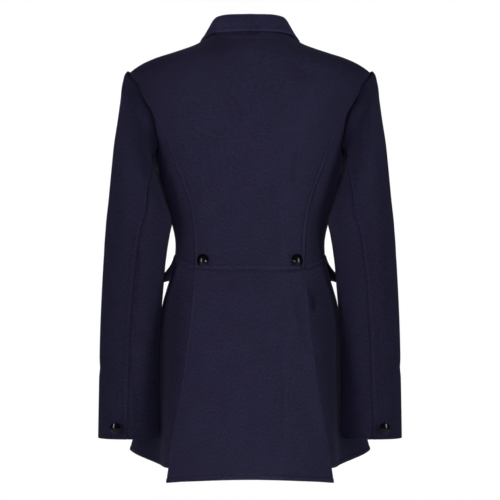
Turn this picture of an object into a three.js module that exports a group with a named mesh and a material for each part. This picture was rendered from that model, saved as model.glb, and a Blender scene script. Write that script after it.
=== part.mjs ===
// A woman's riding frock coat in heavy navy wool, hollow, as it stands when worn.
// Millimetres, +Z up, the back of the coat faces +Y and its left side is +X.
// The origin is the middle of the neck opening, level with the tops of the shoulders,
// where the wearer holds the coat up.
//
// Every cloth piece is a wall: a grid of points on its outer face, moved in by the cloth's thickness.
// The bodice and skirts share one hollow figure, given by the rows of FIGURE. A place on it is (angle, rise):
// angle in degrees from the centre back (0) over the side (90) to the centre front (180),
// rise in millimetres up the side of the figure from the hem.
import * as THREE from 'three';

// ---- Driving sizes -----------------------------------------------------------------------------------

const CLOTH = 2.4; // wool and its lining
const COLLAR_CLOTH = 2.8;
const FLAP_CLOTH = 3; // two layers and the turned edges
const SEAM_GAP = 0.36; // between neighbouring pieces
const LAYER_GAP = 0.5; // between a layer and the one it lies on
const WRAP_GAP = 1.3; // between the two fronts where they wrap, and behind a pleat

const OVERLAP = 20; // each front reaches this far past the centre front
const OVERLAP_EASE = 50; // how far back from the overlap a front eases in or out
const FRONT_STEP = (CLOTH + WRAP_GAP) / 2; // right front stands out and left front lies in by this

const PLEAT_RADIUS = 2.9; // outer radius of the pressed pleat fold
const PLEAT_UNDERLAP = 26; // how far each pleat reaches in behind the back skirt
const PLEAT_DEPTH = 2 * PLEAT_RADIUS + WRAP_GAP; // from the back skirt's face to the skirt under it
const BACK_SKIRT_SPRING = 17; // the back skirt stands this far off the side skirts at the hem
const BACK_SKIRT_DROP = 13; // and hangs this much lower
const BACK_CORNER_DROP = 7; // its corners a little more
const FLUTE = { angle: 113, spread: 14, lift: 0.19 }; // on each side the skirt springs out in one soft fold

const BACK_BUTTON = { radius: 10.5, height: 6.5, x: 77, z: -372 };
const CUFF_BUTTON = { radius: 9.8, height: 5.5, column: 9.23, row: 6.895, droop: 32, lift: 3.5 };
const FRONT_BUTTON = { radius: 9, height: 6.5, top: -196, pitch: 46, count: 4 };
const BUTTON_SEGMENTS = 16;

// The hollow figure, from the hem to the neck. Each row holds its heights at the back, the side and front,
// its half width, its depths back and front, the power of its rounded outline, how far its flute stands out,
// and how flat it runs across the back before it turns up to the side.
const FIGURE_COLUMNS = ['zBack', 'zSide', 'zFront', 'half', 'back', 'front', 'power', 'flute', 'flat'];
const FIGURE = Object.entries({
  hem: [-716, -721, -690, 149, 124, 134, 2.1, 78, 1],
  thigh: [-566, -566, -560, 150, 114, 121, 2.1, 36, 1],
  hip: [-456, -446, -442, 146.8, 104, 107, 2.15, 9, 1],
  waistSeam: [-389, -370, -363, 128.5, 91, 94, 2.2, 0, 5],
  waist: [-357, -350, -345, 126.5, 87, 92, 2.2, 0, 1],
  ribs: [-302, -300, -300, 135, 92, 106, 2.2, 0, 1],
  bust: [-247, -247, -250, 149, 100, 128, 2.2, 0, 1],
  underarm: [-203, -205, -208, 157, 105, 126, 2.3, 0, 1],
  blade: [-126, -128, -140, 176, 107, 112, 2.5, 0, 1],
  shoulderEnd: [-80, -53, -100, 203, 102, 94, 2.1, 0, 1],
  shoulder: [-54, -33, -88, 168, 97, 86, 2.1, 0, 1],
  shoulderInner: [-30, -16.3, -80, 118, 88, 78, 2.1, 0, 1],
  neckRoot: [-13, -4, -76, 87, 77, 70, 2.05, 0, 1],
  neck: [1, 6, -73, 71, 67, 62, 2.0, 0, 1],
}).map(([level, sizes]) => (
  { level, ...Object.fromEntries(FIGURE_COLUMNS.map((name, k) => [name, sizes[k]])) }
));

// Seam lines on one side of the coat, as seen square on: distance from the centre and height.
const ARMHOLE_BACK = [
  { x: 191.5, z: -73 }, { x: 182.5, z: -92 }, { x: 174, z: -108 }, { x: 165, z: -123 }, { x: 160.5, z: -141 },
  { x: 157.5, z: -163 }, { x: 155.5, z: -186 },
];
const PRINCESS_START = 3; // the row of ARMHOLE_BACK where the princess seam leaves the armhole
const ARMHOLE_FRONT = [
  { x: 191, z: -73 }, { x: 174, z: -96 }, { x: 160, z: -116 }, { x: 152, z: -136 },
  { x: 149, z: -158 }, { x: 150, z: -180 }, { x: 153.5, z: -196 },
];
const PRINCESS = [
  { x: 157, z: -136 }, { x: 147.5, z: -156 }, { x: 138, z: -176 }, { x: 129.5, z: -196 }, { x: 121.5, z: -217 },
  { x: 112.5, z: -241 }, { x: 104.5, z: -265 }, { x: 98, z: -292 }, { x: 94, z: -322 }, { x: 92, z: -355 },
];
const SIDE_SEAM_ANGLE = 94;
const PLEAT_EDGE = [
  { z: -389, x: 93 }, { z: -437, x: 95.5 }, { z: -478, x: 99 }, { z: -519, x: 105.5 }, { z: -568, x: 113 },
  { z: -633, x: 126 }, { z: -698, x: 137.5 }, { z: -716, x: 141 },
];

// Front neckline and lapel outlines on a front's own side. Negative x is past the centre front.
const NECK_END_ANGLE = 125; // the collar's ends, round the neck from the centre back
const ROLL_FOOT = { x: -OVERLAP, z: -190 };
const LAPEL_EDGE = [
  { x: -8, z: -191 }, { x: 22, z: -163 }, { x: 52, z: -131 }, { x: 80, z: -96 }, { x: 100, z: -62 },
];
const LAPEL_TOP = [{ x: 100, z: -61 }, { x: 79, z: -34.5 }, { x: 57, z: -23.2 }]; // corner, notch and roll
const LAPEL_SPRING = 2.2; // a lapel stands off its front by this half way across
const LEFT_LAPEL_FOOT = { roll: { x: 8, z: -127 }, edge: { x: 19, z: -163 } }; // where the right front covers it

// The collar, round the neck from the centre back. Places are measured out from the neck seam and up from it.
const COLLAR = [
  { angle: 0,   rollOut: -9,  rollUp: 37.8, edgeOut: 10, edgeUp: 8 },
  { angle: 45,  rollOut: -9.5, rollUp: 35.8, edgeOut: 10.5, edgeUp: 5 },
  { angle: 90,  rollOut: -11, rollUp: 26.5, edgeOut: 10.5, edgeUp: -3 },
  { angle: 108, rollOut: -9,  rollUp: 17,   edgeOut: 24, edgeUp: -7 },
  { angle: NECK_END_ANGLE, rollOut: -2.5, rollUp: 8.5, edgeOut: 41, edgeUp: -12 },
];
const COLLAR_ROLL_RADIUS = 4;
const COLLAR_BOW = 1.2; // the fall bows out by this between its roll and its edge

// The left sleeve, from the armhole to the cuff: the middle of each ring, its half widths, its slope in degrees.
// Round a ring, 0 is its outer side, 90 the back and 180 the side next to the body.
// The two seams sit at hind and fore.
const SLEEVE = [
  { level: 'armhole',  x: 179.5, y: -4, z: -129.5, across: 79, deep: 64, slope: 73, hind: 138, fore: 254 },
  { level: 'head',     x: 185.9, y: -2, z: -140,   across: 83.6, deep: 69, slope: 70.5, hind: 137, fore: 252 },
  { level: 'cap',      x: 186.8, y: 8,  z: -178.5, across: 66, deep: 69, slope: 58, hind: 132, fore: 248 },
  { level: 'biceps',   x: 188, y: 27, z: -229,   across: 54.4, deep: 65, slope: 38, hind: 118, fore: 245 },
  { level: 'upperArm', x: 184.5, y: 33, z: -288,   across: 56.3, deep: 60, slope: 20, hind: 104, fore: 244 },
  { level: 'elbow',    x: 192,   y: 26, z: -345,   across: 53, deep: 55, slope: 4, hind: 98, fore: 245 },
  { level: 'forearm',  x: 202.3, y: 22, z: -480,   across: 50.2, deep: 46, slope: -2, hind: 95, fore: 248 },
  { level: 'cuff',     x: 206,   y: 14, z: -672.5, across: 51, deep: 35, slope: 0, hind: 91, fore: 250 },
];
// Where the sleeve's grid has its rows, counted in rows of SLEEVE.
const SLEEVE_STATIONS = [0, 0.15, 0.45, 0.8, 1.2, 1.7, 2.2, 2.7, 3.3, 4, 4.7, 5.3, 6, 6.5, 7];
const SLEEVE_POWER = 2.12;
const ARMHOLE_FADE = 1.6; // rows over which the true armhole eases into a plain ring
const HEAD_ROPE = 2.2; // the sleeve head stands up this much just past the armhole seam

// Steps round the armhole: down the back panel and the side back, then up the front.
// The sleeve's seams fall on steps.
const ARMHOLE_STEPS = { backPanel: 6, sideBack: 8, front: 14 };
const HIND_STEP = 12;
const FORE_STEP = 20;

// A flap runs between two angles round the hip from a little above the waist seam. Its lower edge stands off the
// skirt, less towards the front.
const FLAP = {
  from: 97, to: 139, hip: 130, height: 52, corner: 14, above: 5, stand: 7.5, curve: 1.4, settle: 0.45,
};
const SKIRT_CORNER = 45; // radius at the foot of each front edge
// The front edges draw back this far towards the hem, over this share of the skirt.
const SKIRT_OPENING = { back: 41.6, over: 0.91 };
const SKIRT_COLUMNS = 1.3; // above 1 the grid's columns stand closer towards the front
const PLEAT_RELEASE = { from: 3, over: 32 }; // past the fold, where the skirt rises from behind the pleat

const NAVY = { color: 0x1b1a2b, roughness: 0.92, metalness: 0 };
const BUTTON_DARK = { color: 0x08080f, roughness: 0.25, metalness: 0 };

// ---- Rows, curves and the figure ---------------------------------------------------------------------

const DEGREE = Math.PI / 180;
const blend = (a, b, t) => a + (b - a) * t;
const ease = (t) => {
  const u = Math.min(1, Math.max(0, t));
  return u * u * (3 - 2 * u);
};

// A smooth curve through the rows of a table: the value of each named column at a knot distance.
function smoothTable(rows, columns, knots) {
  const rate = (k, name) => (rows[k + 1][name] - rows[k][name]) / (knots[k + 1] - knots[k]);
  const slope = (k, name) => {
    if (k === 0) return rate(0, name);
    if (k === rows.length - 1) return rate(k - 1, name);
    const share = (knots[k] - knots[k - 1]) / (knots[k + 1] - knots[k - 1]);
    return blend(rate(k - 1, name), rate(k, name), share);
  };
  return (at) => {
    const place = Math.min(knots[knots.length - 1], Math.max(knots[0], at));
    let k = 0;
    while (k < rows.length - 2 && place > knots[k + 1]) k += 1;
    const span = knots[k + 1] - knots[k];
    const t = (place - knots[k]) / span;
    const made = {};
    for (const name of columns) {
      const [p, q] = [rows[k][name], rows[k + 1][name]];
      const [m, n] = [slope(k, name) * span, slope(k + 1, name) * span];
      made[name] = p + t * (m + t * (3 * (q - p) - 2 * m - n + t * (2 * (p - q) + m + n)));
    }
    return made;
  };
}

const figureKnots = FIGURE.map(() => 0);
FIGURE.forEach((row, k) => {
  if (k === 0) return;
  const last = FIGURE[k - 1];
  figureKnots[k] = figureKnots[k - 1] + Math.hypot(row.zSide - last.zSide, row.half - last.half);
});
const RISE = Object.fromEntries(FIGURE.map((row, k) => [row.level, figureKnots[k]]));
const figureRow = smoothTable(FIGURE, FIGURE_COLUMNS, figureKnots);

function figurePoint(angle, rise) {
  const row = figureRow(rise);
  const [sine, cosine] = [Math.sin(angle * DEGREE), Math.cos(angle * DEGREE)];
  const [depth, end] = cosine >= 0 ? [row.back, row.zBack] : [row.front, row.zFront];
  const flute = row.flute * Math.exp(-(((Math.abs(angle) - FLUTE.angle) / FLUTE.spread) ** 2));
  const reach = flute
    + (Math.abs(sine / row.half) ** row.power + Math.abs(cosine / depth) ** row.power) ** (-1 / row.power);
  const height = blend(row.zSide, end, 1 - Math.abs(sine) ** (2 * row.flat)) + FLUTE.lift * flute;
  return new THREE.Vector3(reach * sine, reach * cosine, height);
}

// The outward normal of a surface given as a function of two places, from steps to either side.
function normalOf(surface, angle, rise, angleStep = 0.3, riseStep = 1) {
  const across = surface(angle + angleStep, rise).sub(surface(angle - angleStep, rise));
  const [low, high] = [Math.max(0, rise - riseStep), Math.min(RISE.neck, rise + riseStep)];
  return surface(angle, high).sub(surface(angle, low)).cross(across).normalize();
}

// A surface that lies off another by a distance that may change from place to place.
function offSurface(surface, distance) {
  return (angle, rise) => (
    surface(angle, rise).addScaledVector(normalOf(surface, angle, rise), distance(angle, rise))
  );
}

function solve(low, high, below) {
  let [a, b] = [low, high];
  for (let step = 0; step < 40; step += 1) {
    const middle = (a + b) / 2;
    if (below(middle)) a = middle;
    else b = middle;
  }
  return (a + b) / 2;
}

// The place on the figure at a distance x from the centre and a height z, on the back or the front:
// the nearest of a coarse net of places, then closed in on by halving steps.
function locate({ x, z }, facing) {
  const first = facing === 'back' ? 0 : 90;
  const miss = (angle, rise) => {
    const p = figurePoint(angle, rise);
    return Math.hypot(p.x - x, p.z - z);
  };
  let best = { angle: first, rise: 0, far: Infinity };
  const visit = (angle, rise) => {
    const far = miss(angle, rise);
    if (far < best.far) best = { angle, rise, far };
  };
  for (let angle = first; angle <= first + 96; angle += 4) {
    for (let rise = 0; rise <= RISE.neck; rise += RISE.neck / 60) visit(angle, rise);
  }
  for (let step = 4; step > 0.0005; step /= 2) {
    for (let turn = 0; turn < 8; turn += 1) {
      const { angle, rise, far } = best;
      for (const da of [-step, 0, step]) {
        for (const dr of [-4 * step, 0, 4 * step]) visit(angle + da, Math.min(RISE.neck, rise + dr));
      }
      if (best.far === far) break;
    }
  }
  return new THREE.Vector2(best.angle, best.rise);
}

const place = (angle, rise) => new THREE.Vector2(angle, rise);
const straight = (from, to, count) => (
  Array.from({ length: count + 1 }, (_, k) => from.clone().lerp(to, k / count))
);
const curved = (points, count) => new THREE.SplineCurve(points).getPoints(count);
const chain = (...runs) => runs.flatMap((run, k) => (k === 0 ? run : run.slice(1)));

// Fills a four-sided outline with a grid. left and right run up, bottom and top run from left to right.
function fillOutline({ left, right, bottom, top }) {
  const [rows, columns] = [left.length - 1, bottom.length - 1];
  return left.map((_, j) => bottom.map((__, i) => {
    const [s, t] = [i / columns, j / rows];
    const ruled = left[j].clone().lerp(right[j], s).add(bottom[i].clone().lerp(top[i], t));
    const corners = bottom[0].clone().lerp(bottom[columns], s).lerp(top[0].clone().lerp(top[columns], s), t);
    return ruled.sub(corners);
  }));
}

// ---- Cloth walls -------------------------------------------------------------------------------------

// Normals of a grid of points, from its neighbours: rows run up and columns run across.
function gridNormals(points) {
  const [rows, columns] = [points.length - 1, points[0].length - 1];
  return points.map((row, j) => row.map((_, i) => {
    const across = row[Math.min(columns, i + 1)].clone().sub(row[Math.max(0, i - 1)]);
    const up = points[Math.min(rows, j + 1)][i].clone().sub(points[Math.max(0, j - 1)][i]);
    return up.cross(across).normalize();
  }));
}

// Draws the edges of a grid in by half a seam, square to each edge.
function trimEdges(points, normals) {
  const [rows, columns] = [points.length - 1, points[0].length - 1];
  return points.map((row, j) => row.map((p, i) => {
    const trimmed = p.clone();
    const draw = (before, after) => {
      const along = after.clone().sub(before);
      trimmed.add(along.cross(normals[j][i]).setLength(SEAM_GAP / 2));
    };
    const [left, right] = [row[Math.max(0, i - 1)], row[Math.min(columns, i + 1)]];
    const [low, high] = [points[Math.max(0, j - 1)][i], points[Math.min(rows, j + 1)][i]];
    if (j === 0) draw(left, right);
    if (j === rows) draw(right, left);
    if (i === 0) draw(high, low);
    if (i === columns) draw(low, high);
    return trimmed;
  }));
}

// A closed wall from its outer face. Each square is split so that diagonals meet at every other grid point.
function wallGeometry(points, normals, thickness) {
  const [rows, columns] = [points.length, points[0].length];
  const position = [];
  for (const depth of [0, thickness]) {
    points.forEach((row, j) => row.forEach((p, i) => {
      position.push(...p.clone().addScaledVector(normals[j][i], -depth).toArray());
    }));
  }
  const index = [];
  const at = (layer, j, i) => (layer * rows + j) * columns + i;
  const add = (a, b, c, turned) => (turned ? index.push(a, c, b) : index.push(a, b, c));
  for (let j = 0; j < rows - 1; j += 1) {
    for (let i = 0; i < columns - 1; i += 1) {
      for (const layer of [0, 1]) {
        const [a, b] = [at(layer, j, i), at(layer, j, i + 1)];
        const [c, d] = [at(layer, j + 1, i + 1), at(layer, j + 1, i)];
        if ((i + j) % 2 === 0) {
          add(a, d, c, layer === 1);
          add(a, c, b, layer === 1);
        } else {
          add(a, d, b, layer === 1);
          add(d, c, b, layer === 1);
        }
      }
    }
  }
  const rim = (a, b, turned) => {
    const [c, d] = [b + rows * columns, a + rows * columns];
    add(a, b, c, turned);
    add(a, c, d, turned);
  };
  for (let i = 0; i < columns - 1; i += 1) {
    rim(at(0, 0, i), at(0, 0, i + 1), false);
    rim(at(0, rows - 1, i), at(0, rows - 1, i + 1), true);
  }
  for (let j = 0; j < rows - 1; j += 1) {
    rim(at(0, j, 0), at(0, j + 1, 0), true);
    rim(at(0, j, columns - 1), at(0, j + 1, columns - 1), false);
  }
  const geometry = new THREE.BufferGeometry();
  geometry.setAttribute('position', new THREE.Float32BufferAttribute(position, 3));
  geometry.setIndex(index);
  return geometry;
}

// The same geometry for the other side of the coat.
function mirrored(geometry) {
  const copy = geometry.clone().scale(-1, 1, 1);
  const index = copy.index.array;
  for (let k = 0; k < index.length; k += 3) [index[k + 1], index[k + 2]] = [index[k + 2], index[k + 1]];
  return copy;
}

// ---- Seam lines shared by neighbouring pieces -----------------------------------------------------------

const shoulderPoint = place(90, RISE.shoulderEnd);
const underarmPoint = place(SIDE_SEAM_ANGLE, RISE.underarm);
const armholeBack = [shoulderPoint, ...ARMHOLE_BACK.map((p) => locate(p, 'back')), underarmPoint];
const armholeFront = [shoulderPoint, ...ARMHOLE_FRONT.map((p) => locate(p, 'front')), underarmPoint].reverse();
const upperArmhole = curved(armholeBack.slice(0, PRINCESS_START + 2), ARMHOLE_STEPS.backPanel);
const lowerArmhole = curved(armholeBack.slice(PRINCESS_START + 1), ARMHOLE_STEPS.sideBack);
const frontArmhole = curved(armholeFront, ARMHOLE_STEPS.front);
const armhole = chain(upperArmhole, lowerArmhole, frontArmhole); // starts and ends at the shoulder

const princessFoot = place(locate({ x: 92, z: -389 }, 'back').x, RISE.waistSeam);
const princessLine = [armholeBack[PRINCESS_START + 1], ...PRINCESS.map((p) => locate(p, 'back')), princessFoot];
const princess = curved(princessLine.reverse(), 12); // runs up

// ---- Sleeves -------------------------------------------------------------------------------------------

const sleeveRow = smoothTable(
  SLEEVE, ['x', 'y', 'z', 'across', 'deep', 'slope', 'hind', 'fore'], SLEEVE.map((_, k) => k),
);

// A plain ring of the sleeve, tilted by its slope.
function sleeveRing(angle, at) {
  const row = sleeveRow(at);
  const [cosine, sine] = [Math.cos(angle * DEGREE), Math.sin(angle * DEGREE)];
  const reach = (Math.abs(cosine) ** SLEEVE_POWER + Math.abs(sine) ** SLEEVE_POWER) ** (-1 / SLEEVE_POWER);
  const outward = row.across * cosine * reach;
  return new THREE.Vector3(
    row.x + outward * Math.cos(row.slope * DEGREE),
    row.y + row.deep * sine * reach,
    row.z + outward * Math.sin(row.slope * DEGREE),
  );
}

// The ring angle of an armhole step, which slides with the sleeve's two seams.
function sleeveAngle(step, at) {
  const row = sleeveRow(at);
  if (step <= HIND_STEP) return blend(0, row.hind, step / HIND_STEP);
  if (step <= FORE_STEP) return blend(row.hind, row.fore, (step - HIND_STEP) / (FORE_STEP - HIND_STEP));
  return blend(row.fore, 360, (step - FORE_STEP) / (armhole.length - 1 - FORE_STEP));
}

function sleevePoint(step, at) {
  const p = sleeveRing(sleeveAngle(step, at), at);
  const pull = 1 - ease(at / ARMHOLE_FADE);
  if (pull > 0) {
    const seam = armhole[step];
    p.add(figurePoint(seam.x, seam.y).sub(sleeveRing(sleeveAngle(step, 0), 0)).multiplyScalar(pull));
    const top = Math.max(0, Math.cos(sleeveAngle(step, at) * DEGREE));
    p.z += HEAD_ROPE * top * top * Math.sin(Math.PI * Math.min(1, at / 0.9));
  }
  return p;
}

const sleevePoints = SLEEVE_STATIONS.map((at) => armhole.map((_, step) => sleevePoint(step, at)));

// Rows here run down the arm, so the way up is the row before.
const sleeveNormals = sleevePoints.map((row, j) => row.map((_, i) => {
  const turns = row.length - 1;
  const across = row[(i + 1) % turns].clone().sub(row[(i + turns - 1) % turns]);
  const above = sleevePoints[Math.max(0, j - 1)][i];
  const below = sleevePoints[Math.min(sleevePoints.length - 1, j + 1)][i];
  return below.clone().sub(above).cross(across).normalize();
}));

// At the armhole the sleeve and the bodice share one mitred rim, so that neither wall runs into the other.
const armholeRims = armhole.map((seam, step) => {
  const body = normalOf(figurePoint, seam.x, seam.y);
  const mitre = body.clone().add(sleeveNormals[0][step]).normalize();
  return { seam, normal: mitre.divideScalar(Math.max(0.5, mitre.dot(body))) };
});
sleeveNormals[0] = armholeRims.map((rim) => rim.normal);

function sleevePiece(steps) {
  const points = sleevePoints.map((row) => steps.map((step) => row[step % (row.length - 1)]));
  const normals = sleeveNormals.map((row) => steps.map((step) => row[step % (row.length - 1)]));
  return wallGeometry(trimEdges(points, normals), normals, CLOTH);
}

const stepsFrom = (first, last) => Array.from({ length: last - first + 1 }, (_, k) => first + k);
const topSleeve = () => sleevePiece(stepsFrom(FORE_STEP, armhole.length - 1 + HIND_STEP));
const underSleeve = () => sleevePiece(stepsFrom(HIND_STEP, FORE_STEP));

// ---- Bodice --------------------------------------------------------------------------------------------

// The outward normal of a body panel, or the shared rim where it meets the sleeve.
function panelNormal(surface, p) {
  const rim = armholeRims.find(({ seam }) => Math.hypot(seam.x - Math.abs(p.x), seam.y - p.y) < 0.01);
  if (!rim) return normalOf(surface, p.x, p.y);
  return p.x > 0 ? rim.normal.clone() : rim.normal.clone().multiply(new THREE.Vector3(-1, 1, 1));
}

// A wall laid on a surface over a grid of places.
function panel(surface, places, thickness = CLOTH) {
  const points = places.map((row) => row.map((p) => surface(p.x, p.y)));
  const normals = places.map((row) => row.map((p) => panelNormal(surface, p)));
  return wallGeometry(trimEdges(points, normals), normals, thickness);
}

function backPanel() {
  const side = chain(princess, [...upperArmhole].reverse(), straight(shoulderPoint, place(90, RISE.neck), 6));
  const otherSide = side.map((p) => place(-p.x, p.y));
  return panel(figurePoint, side.map((p, j) => straight(otherSide[j], p, 18)));
}

function sideBack() {
  return panel(figurePoint, fillOutline({
    left: princess,
    right: straight(place(SIDE_SEAM_ANGLE, RISE.waistSeam), underarmPoint, 12),
    bottom: straight(princessFoot, place(SIDE_SEAM_ANGLE, RISE.waistSeam), ARMHOLE_STEPS.sideBack),
    top: lowerArmhole,
  }));
}

// A front's own surface: out over, or in under, the other front near the centre.
function frontSurface(step) {
  return offSurface(figurePoint, (angle, rise) => {
    const fromCentre = figurePoint(angle, rise).x;
    return step * ease((OVERLAP + OVERLAP_EASE - fromCentre) / OVERLAP_EASE);
  });
}

const frontEdgeAngle = (rise, past) => 180 + Math.atan(past / figureRow(rise).front) / DEGREE;
const rollTop = place(NECK_END_ANGLE, RISE.neck);
const rollFoot = locate(ROLL_FOOT, 'front');

function rollLine(from, count) {
  const top = figurePoint(rollTop.x, rollTop.y);
  const steps = Array.from({ length: count }, (_, k) => k / count);
  const run = steps.map((t) => locate({ x: blend(from.x, top.x, t), z: blend(from.z, top.z, t) }, 'front'));
  return [...run, rollTop];
}

function frontPanel(step) {
  const side = chain(
    straight(place(SIDE_SEAM_ANGLE, RISE.waistSeam), underarmPoint, 6),
    frontArmhole,
    straight(shoulderPoint, place(90, RISE.neck), 6),
  );
  const edge = chain(
    straight(place(frontEdgeAngle(RISE.waistSeam, OVERLAP), RISE.waistSeam), rollFoot, 12),
    rollLine(ROLL_FOOT, 14),
  );
  return panel(frontSurface(step), fillOutline({
    left: side,
    right: edge,
    bottom: straight(side[0], edge[0], 12),
    top: straight(side[side.length - 1], edge[edge.length - 1], 12),
  }));
}

// ---- Lapels --------------------------------------------------------------------------------------------

// A lapel lies on its front, with a soft spring between the roll and its outer edge.
function lapel(step, foot) {
  const [rows, columns] = [12, 6];
  const run = (points, count) => curved(points.map((p) => locate(p, 'front')), count);
  const along = (from, to, count) => Array.from({ length: count + 1 }, (_, k) => (
    { x: blend(from.x, to.x, k / count), z: blend(from.z, to.z, k / count) }
  ));
  const [corner, notch, rollEnd] = LAPEL_TOP;
  const places = fillOutline({
    left: run([foot.edge, ...LAPEL_EDGE.filter((p) => p.z > foot.edge.z + 5)], rows),
    right: run(along(foot.roll, rollEnd, rows), rows),
    bottom: run(along(foot.edge, foot.roll, columns), columns),
    top: chain(run(along(corner, notch, 3), columns / 2), run(along(notch, rollEnd, 3), columns / 2)),
  });
  const bed = frontSurface(step);
  const points = places.map((row) => row.map((p, i) => {
    const spring = LAPEL_SPRING * Math.sin(Math.PI * (i / columns)) + LAYER_GAP;
    return bed(p.x, p.y).addScaledVector(normalOf(bed, p.x, p.y), CLOTH + LAYER_GAP + spring);
  }));
  return wallGeometry(points, gridNormals(points), CLOTH);
}

// ---- Skirts --------------------------------------------------------------------------------------------

const skirtShare = (rise) => 1 - rise / RISE.waistSeam; // 0 at the waist seam, 1 at the hem
const skirtSpring = (rise) => BACK_SKIRT_SPRING * Math.max(0, skirtShare(rise)) ** 1.1;
const pleatEdge = smoothTable([...PLEAT_EDGE].reverse(), ['x'], [...PLEAT_EDGE].reverse().map((row) => row.z));

const sprungFigure = offSurface(figurePoint, (_, rise) => skirtSpring(rise));

// The angle of the pleat's pressed edge at a rise.
function pleatAngle(rise) {
  return solve(20, 89, (angle) => {
    const p = sprungFigure(angle, rise);
    return p.x + PLEAT_RADIUS < pleatEdge(p.z).x;
  });
}

const angleFor = (length, rise) => length / (DEGREE * figureRow(rise).half * 0.85);

function backSkirtSurface(angle, rise) {
  const share = skirtShare(rise);
  const corner = (angle / pleatAngle(rise)) ** 2;
  const p = sprungFigure(angle, rise);
  p.z -= (BACK_SKIRT_DROP + BACK_CORNER_DROP * corner) * share * share;
  return p;
}

// The back skirt: its face, a pressed fold down each side, and the turned-in part behind each fold.
function backSkirt() {
  const [rows, across, arcSteps, turnSteps] = [12, 14, 4, 2];
  const onFace = (angle, rise, sunk = 0) => {
    const normal = normalOf(backSkirtSurface, angle, rise);
    return { point: backSkirtSurface(angle, rise).addScaledVector(normal, -sunk), normal };
  };
  const turned = (side, edge, rise) => {
    const { point: end, normal: outward } = onFace(side * edge, rise);
    const along = end.clone().sub(backSkirtSurface(side * (edge - 1), rise)).normalize();
    const middle = end.clone().addScaledVector(outward, -PLEAT_RADIUS);
    const arc = Array.from({ length: arcSteps }, (_, k) => {
      const turn = Math.PI * ((k + 1) / arcSteps);
      const normal = outward.clone().multiplyScalar(Math.cos(turn)).addScaledVector(along, Math.sin(turn));
      return { point: middle.clone().addScaledVector(normal, PLEAT_RADIUS), normal };
    });
    const under = Array.from({ length: turnSteps }, (_, k) => {
      const inward = side * (edge - angleFor(PLEAT_UNDERLAP * 0.9 * ((k + 1) / turnSteps), rise));
      const { point, normal } = onFace(inward, rise, 2 * PLEAT_RADIUS);
      return { point, normal: normal.negate() };
    });
    return [...arc, ...under];
  };
  const grid = Array.from({ length: rows + 1 }, (_, j) => {
    const rise = RISE.waistSeam * (j / rows);
    const edge = pleatAngle(rise);
    const face = Array.from({ length: across + 1 }, (__, i) => onFace(blend(-edge, edge, i / across), rise));
    return [...turned(-1, edge, rise).reverse(), ...face, ...turned(1, edge, rise)];
  });
  const points = grid.map((row) => row.map(({ point }) => point));
  const normals = grid.map((row) => row.map(({ normal }) => normal));
  return wallGeometry(trimEdges(points, normals), normals, CLOTH);
}

// A front skirt's surface: drawn in behind the pleat at the back, and over or under its neighbour at the front.
function frontSkirtSurface(step) {
  const front = frontSurface(step);
  return offSurface(front, (angle, rise) => {
    const past = (angle - pleatAngle(rise)) * DEGREE * figureRow(rise).half * 0.85;
    const sunk = PLEAT_DEPTH * (1 - ease((past - PLEAT_RELEASE.from) / PLEAT_RELEASE.over));
    const lifted = skirtSpring(rise) * (1 - ease((past + PLEAT_UNDERLAP) / (PLEAT_UNDERLAP + 10)));
    return lifted - sunk;
  });
}

function frontSkirt(step) {
  const [rows, columns] = [12, 26];
  const surface = frontSkirtSurface(step);
  const angleAt = (share, rise) => {
    const drawnBack = SKIRT_OPENING.back * ease(skirtShare(rise) / SKIRT_OPENING.over);
    const start = pleatAngle(rise) - angleFor(PLEAT_UNDERLAP, rise);
    return blend(start, frontEdgeAngle(rise, OVERLAP - drawnBack), share);
  };
  const shares = Array.from({ length: columns + 1 }, (_, i) => 1 - (1 - i / columns) ** SKIRT_COLUMNS);
  const hem = shares.map((share) => surface(angleAt(share, 0), 0));
  let fromFront = 0;
  const foot = hem.map(() => 0); // how far the rounded corner lifts the hem of each column
  for (let i = columns; i > 0; i -= 1) {
    foot[i] = SKIRT_CORNER - Math.sqrt(SKIRT_CORNER ** 2 - Math.max(0, SKIRT_CORNER - fromFront) ** 2);
    fromFront += hem[i].distanceTo(hem[i - 1]);
  }
  return panel(surface, Array.from({ length: rows + 1 }, (_, j) => shares.map((share, i) => {
    const rise = blend(foot[i], RISE.waistSeam, j / rows);
    return place(angleAt(share, rise), rise);
  })));
}

// ---- Pocket flaps --------------------------------------------------------------------------------------

// A flap hangs from just above the waist seam and stands away from the hip towards its lower edge.
function pocketFlap(step) {
  const [rows, columns] = [5, 8];
  const skirt = frontSkirtSurface(step);
  const top = RISE.waistSeam + FLAP.above;
  const points = Array.from({ length: rows + 1 }, (_, j) => Array.from({ length: columns + 1 }, (__, i) => {
    const [share, down] = [i / columns, 1 - j / rows];
    const fromEnd = Math.min(share, 1 - share) * (FLAP.to - FLAP.from) * DEGREE * FLAP.hip;
    const rounding = Math.max(0, 1 - fromEnd / FLAP.corner);
    const lift = FLAP.corner * (1 - Math.sqrt(1 - rounding * rounding)) * down;
    const p = place(blend(FLAP.from, FLAP.to, share), top - FLAP.height * down + lift);
    const stand = FLAP.stand * down ** FLAP.curve * (1 - FLAP.settle * share);
    return skirt(p.x, p.y)
      .addScaledVector(normalOf(skirt, p.x, p.y), FLAP_CLOTH + LAYER_GAP + stand);
  }));
  return wallGeometry(points, gridNormals(points), FLAP_CLOTH);
}

// ---- Collar --------------------------------------------------------------------------------------------

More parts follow.
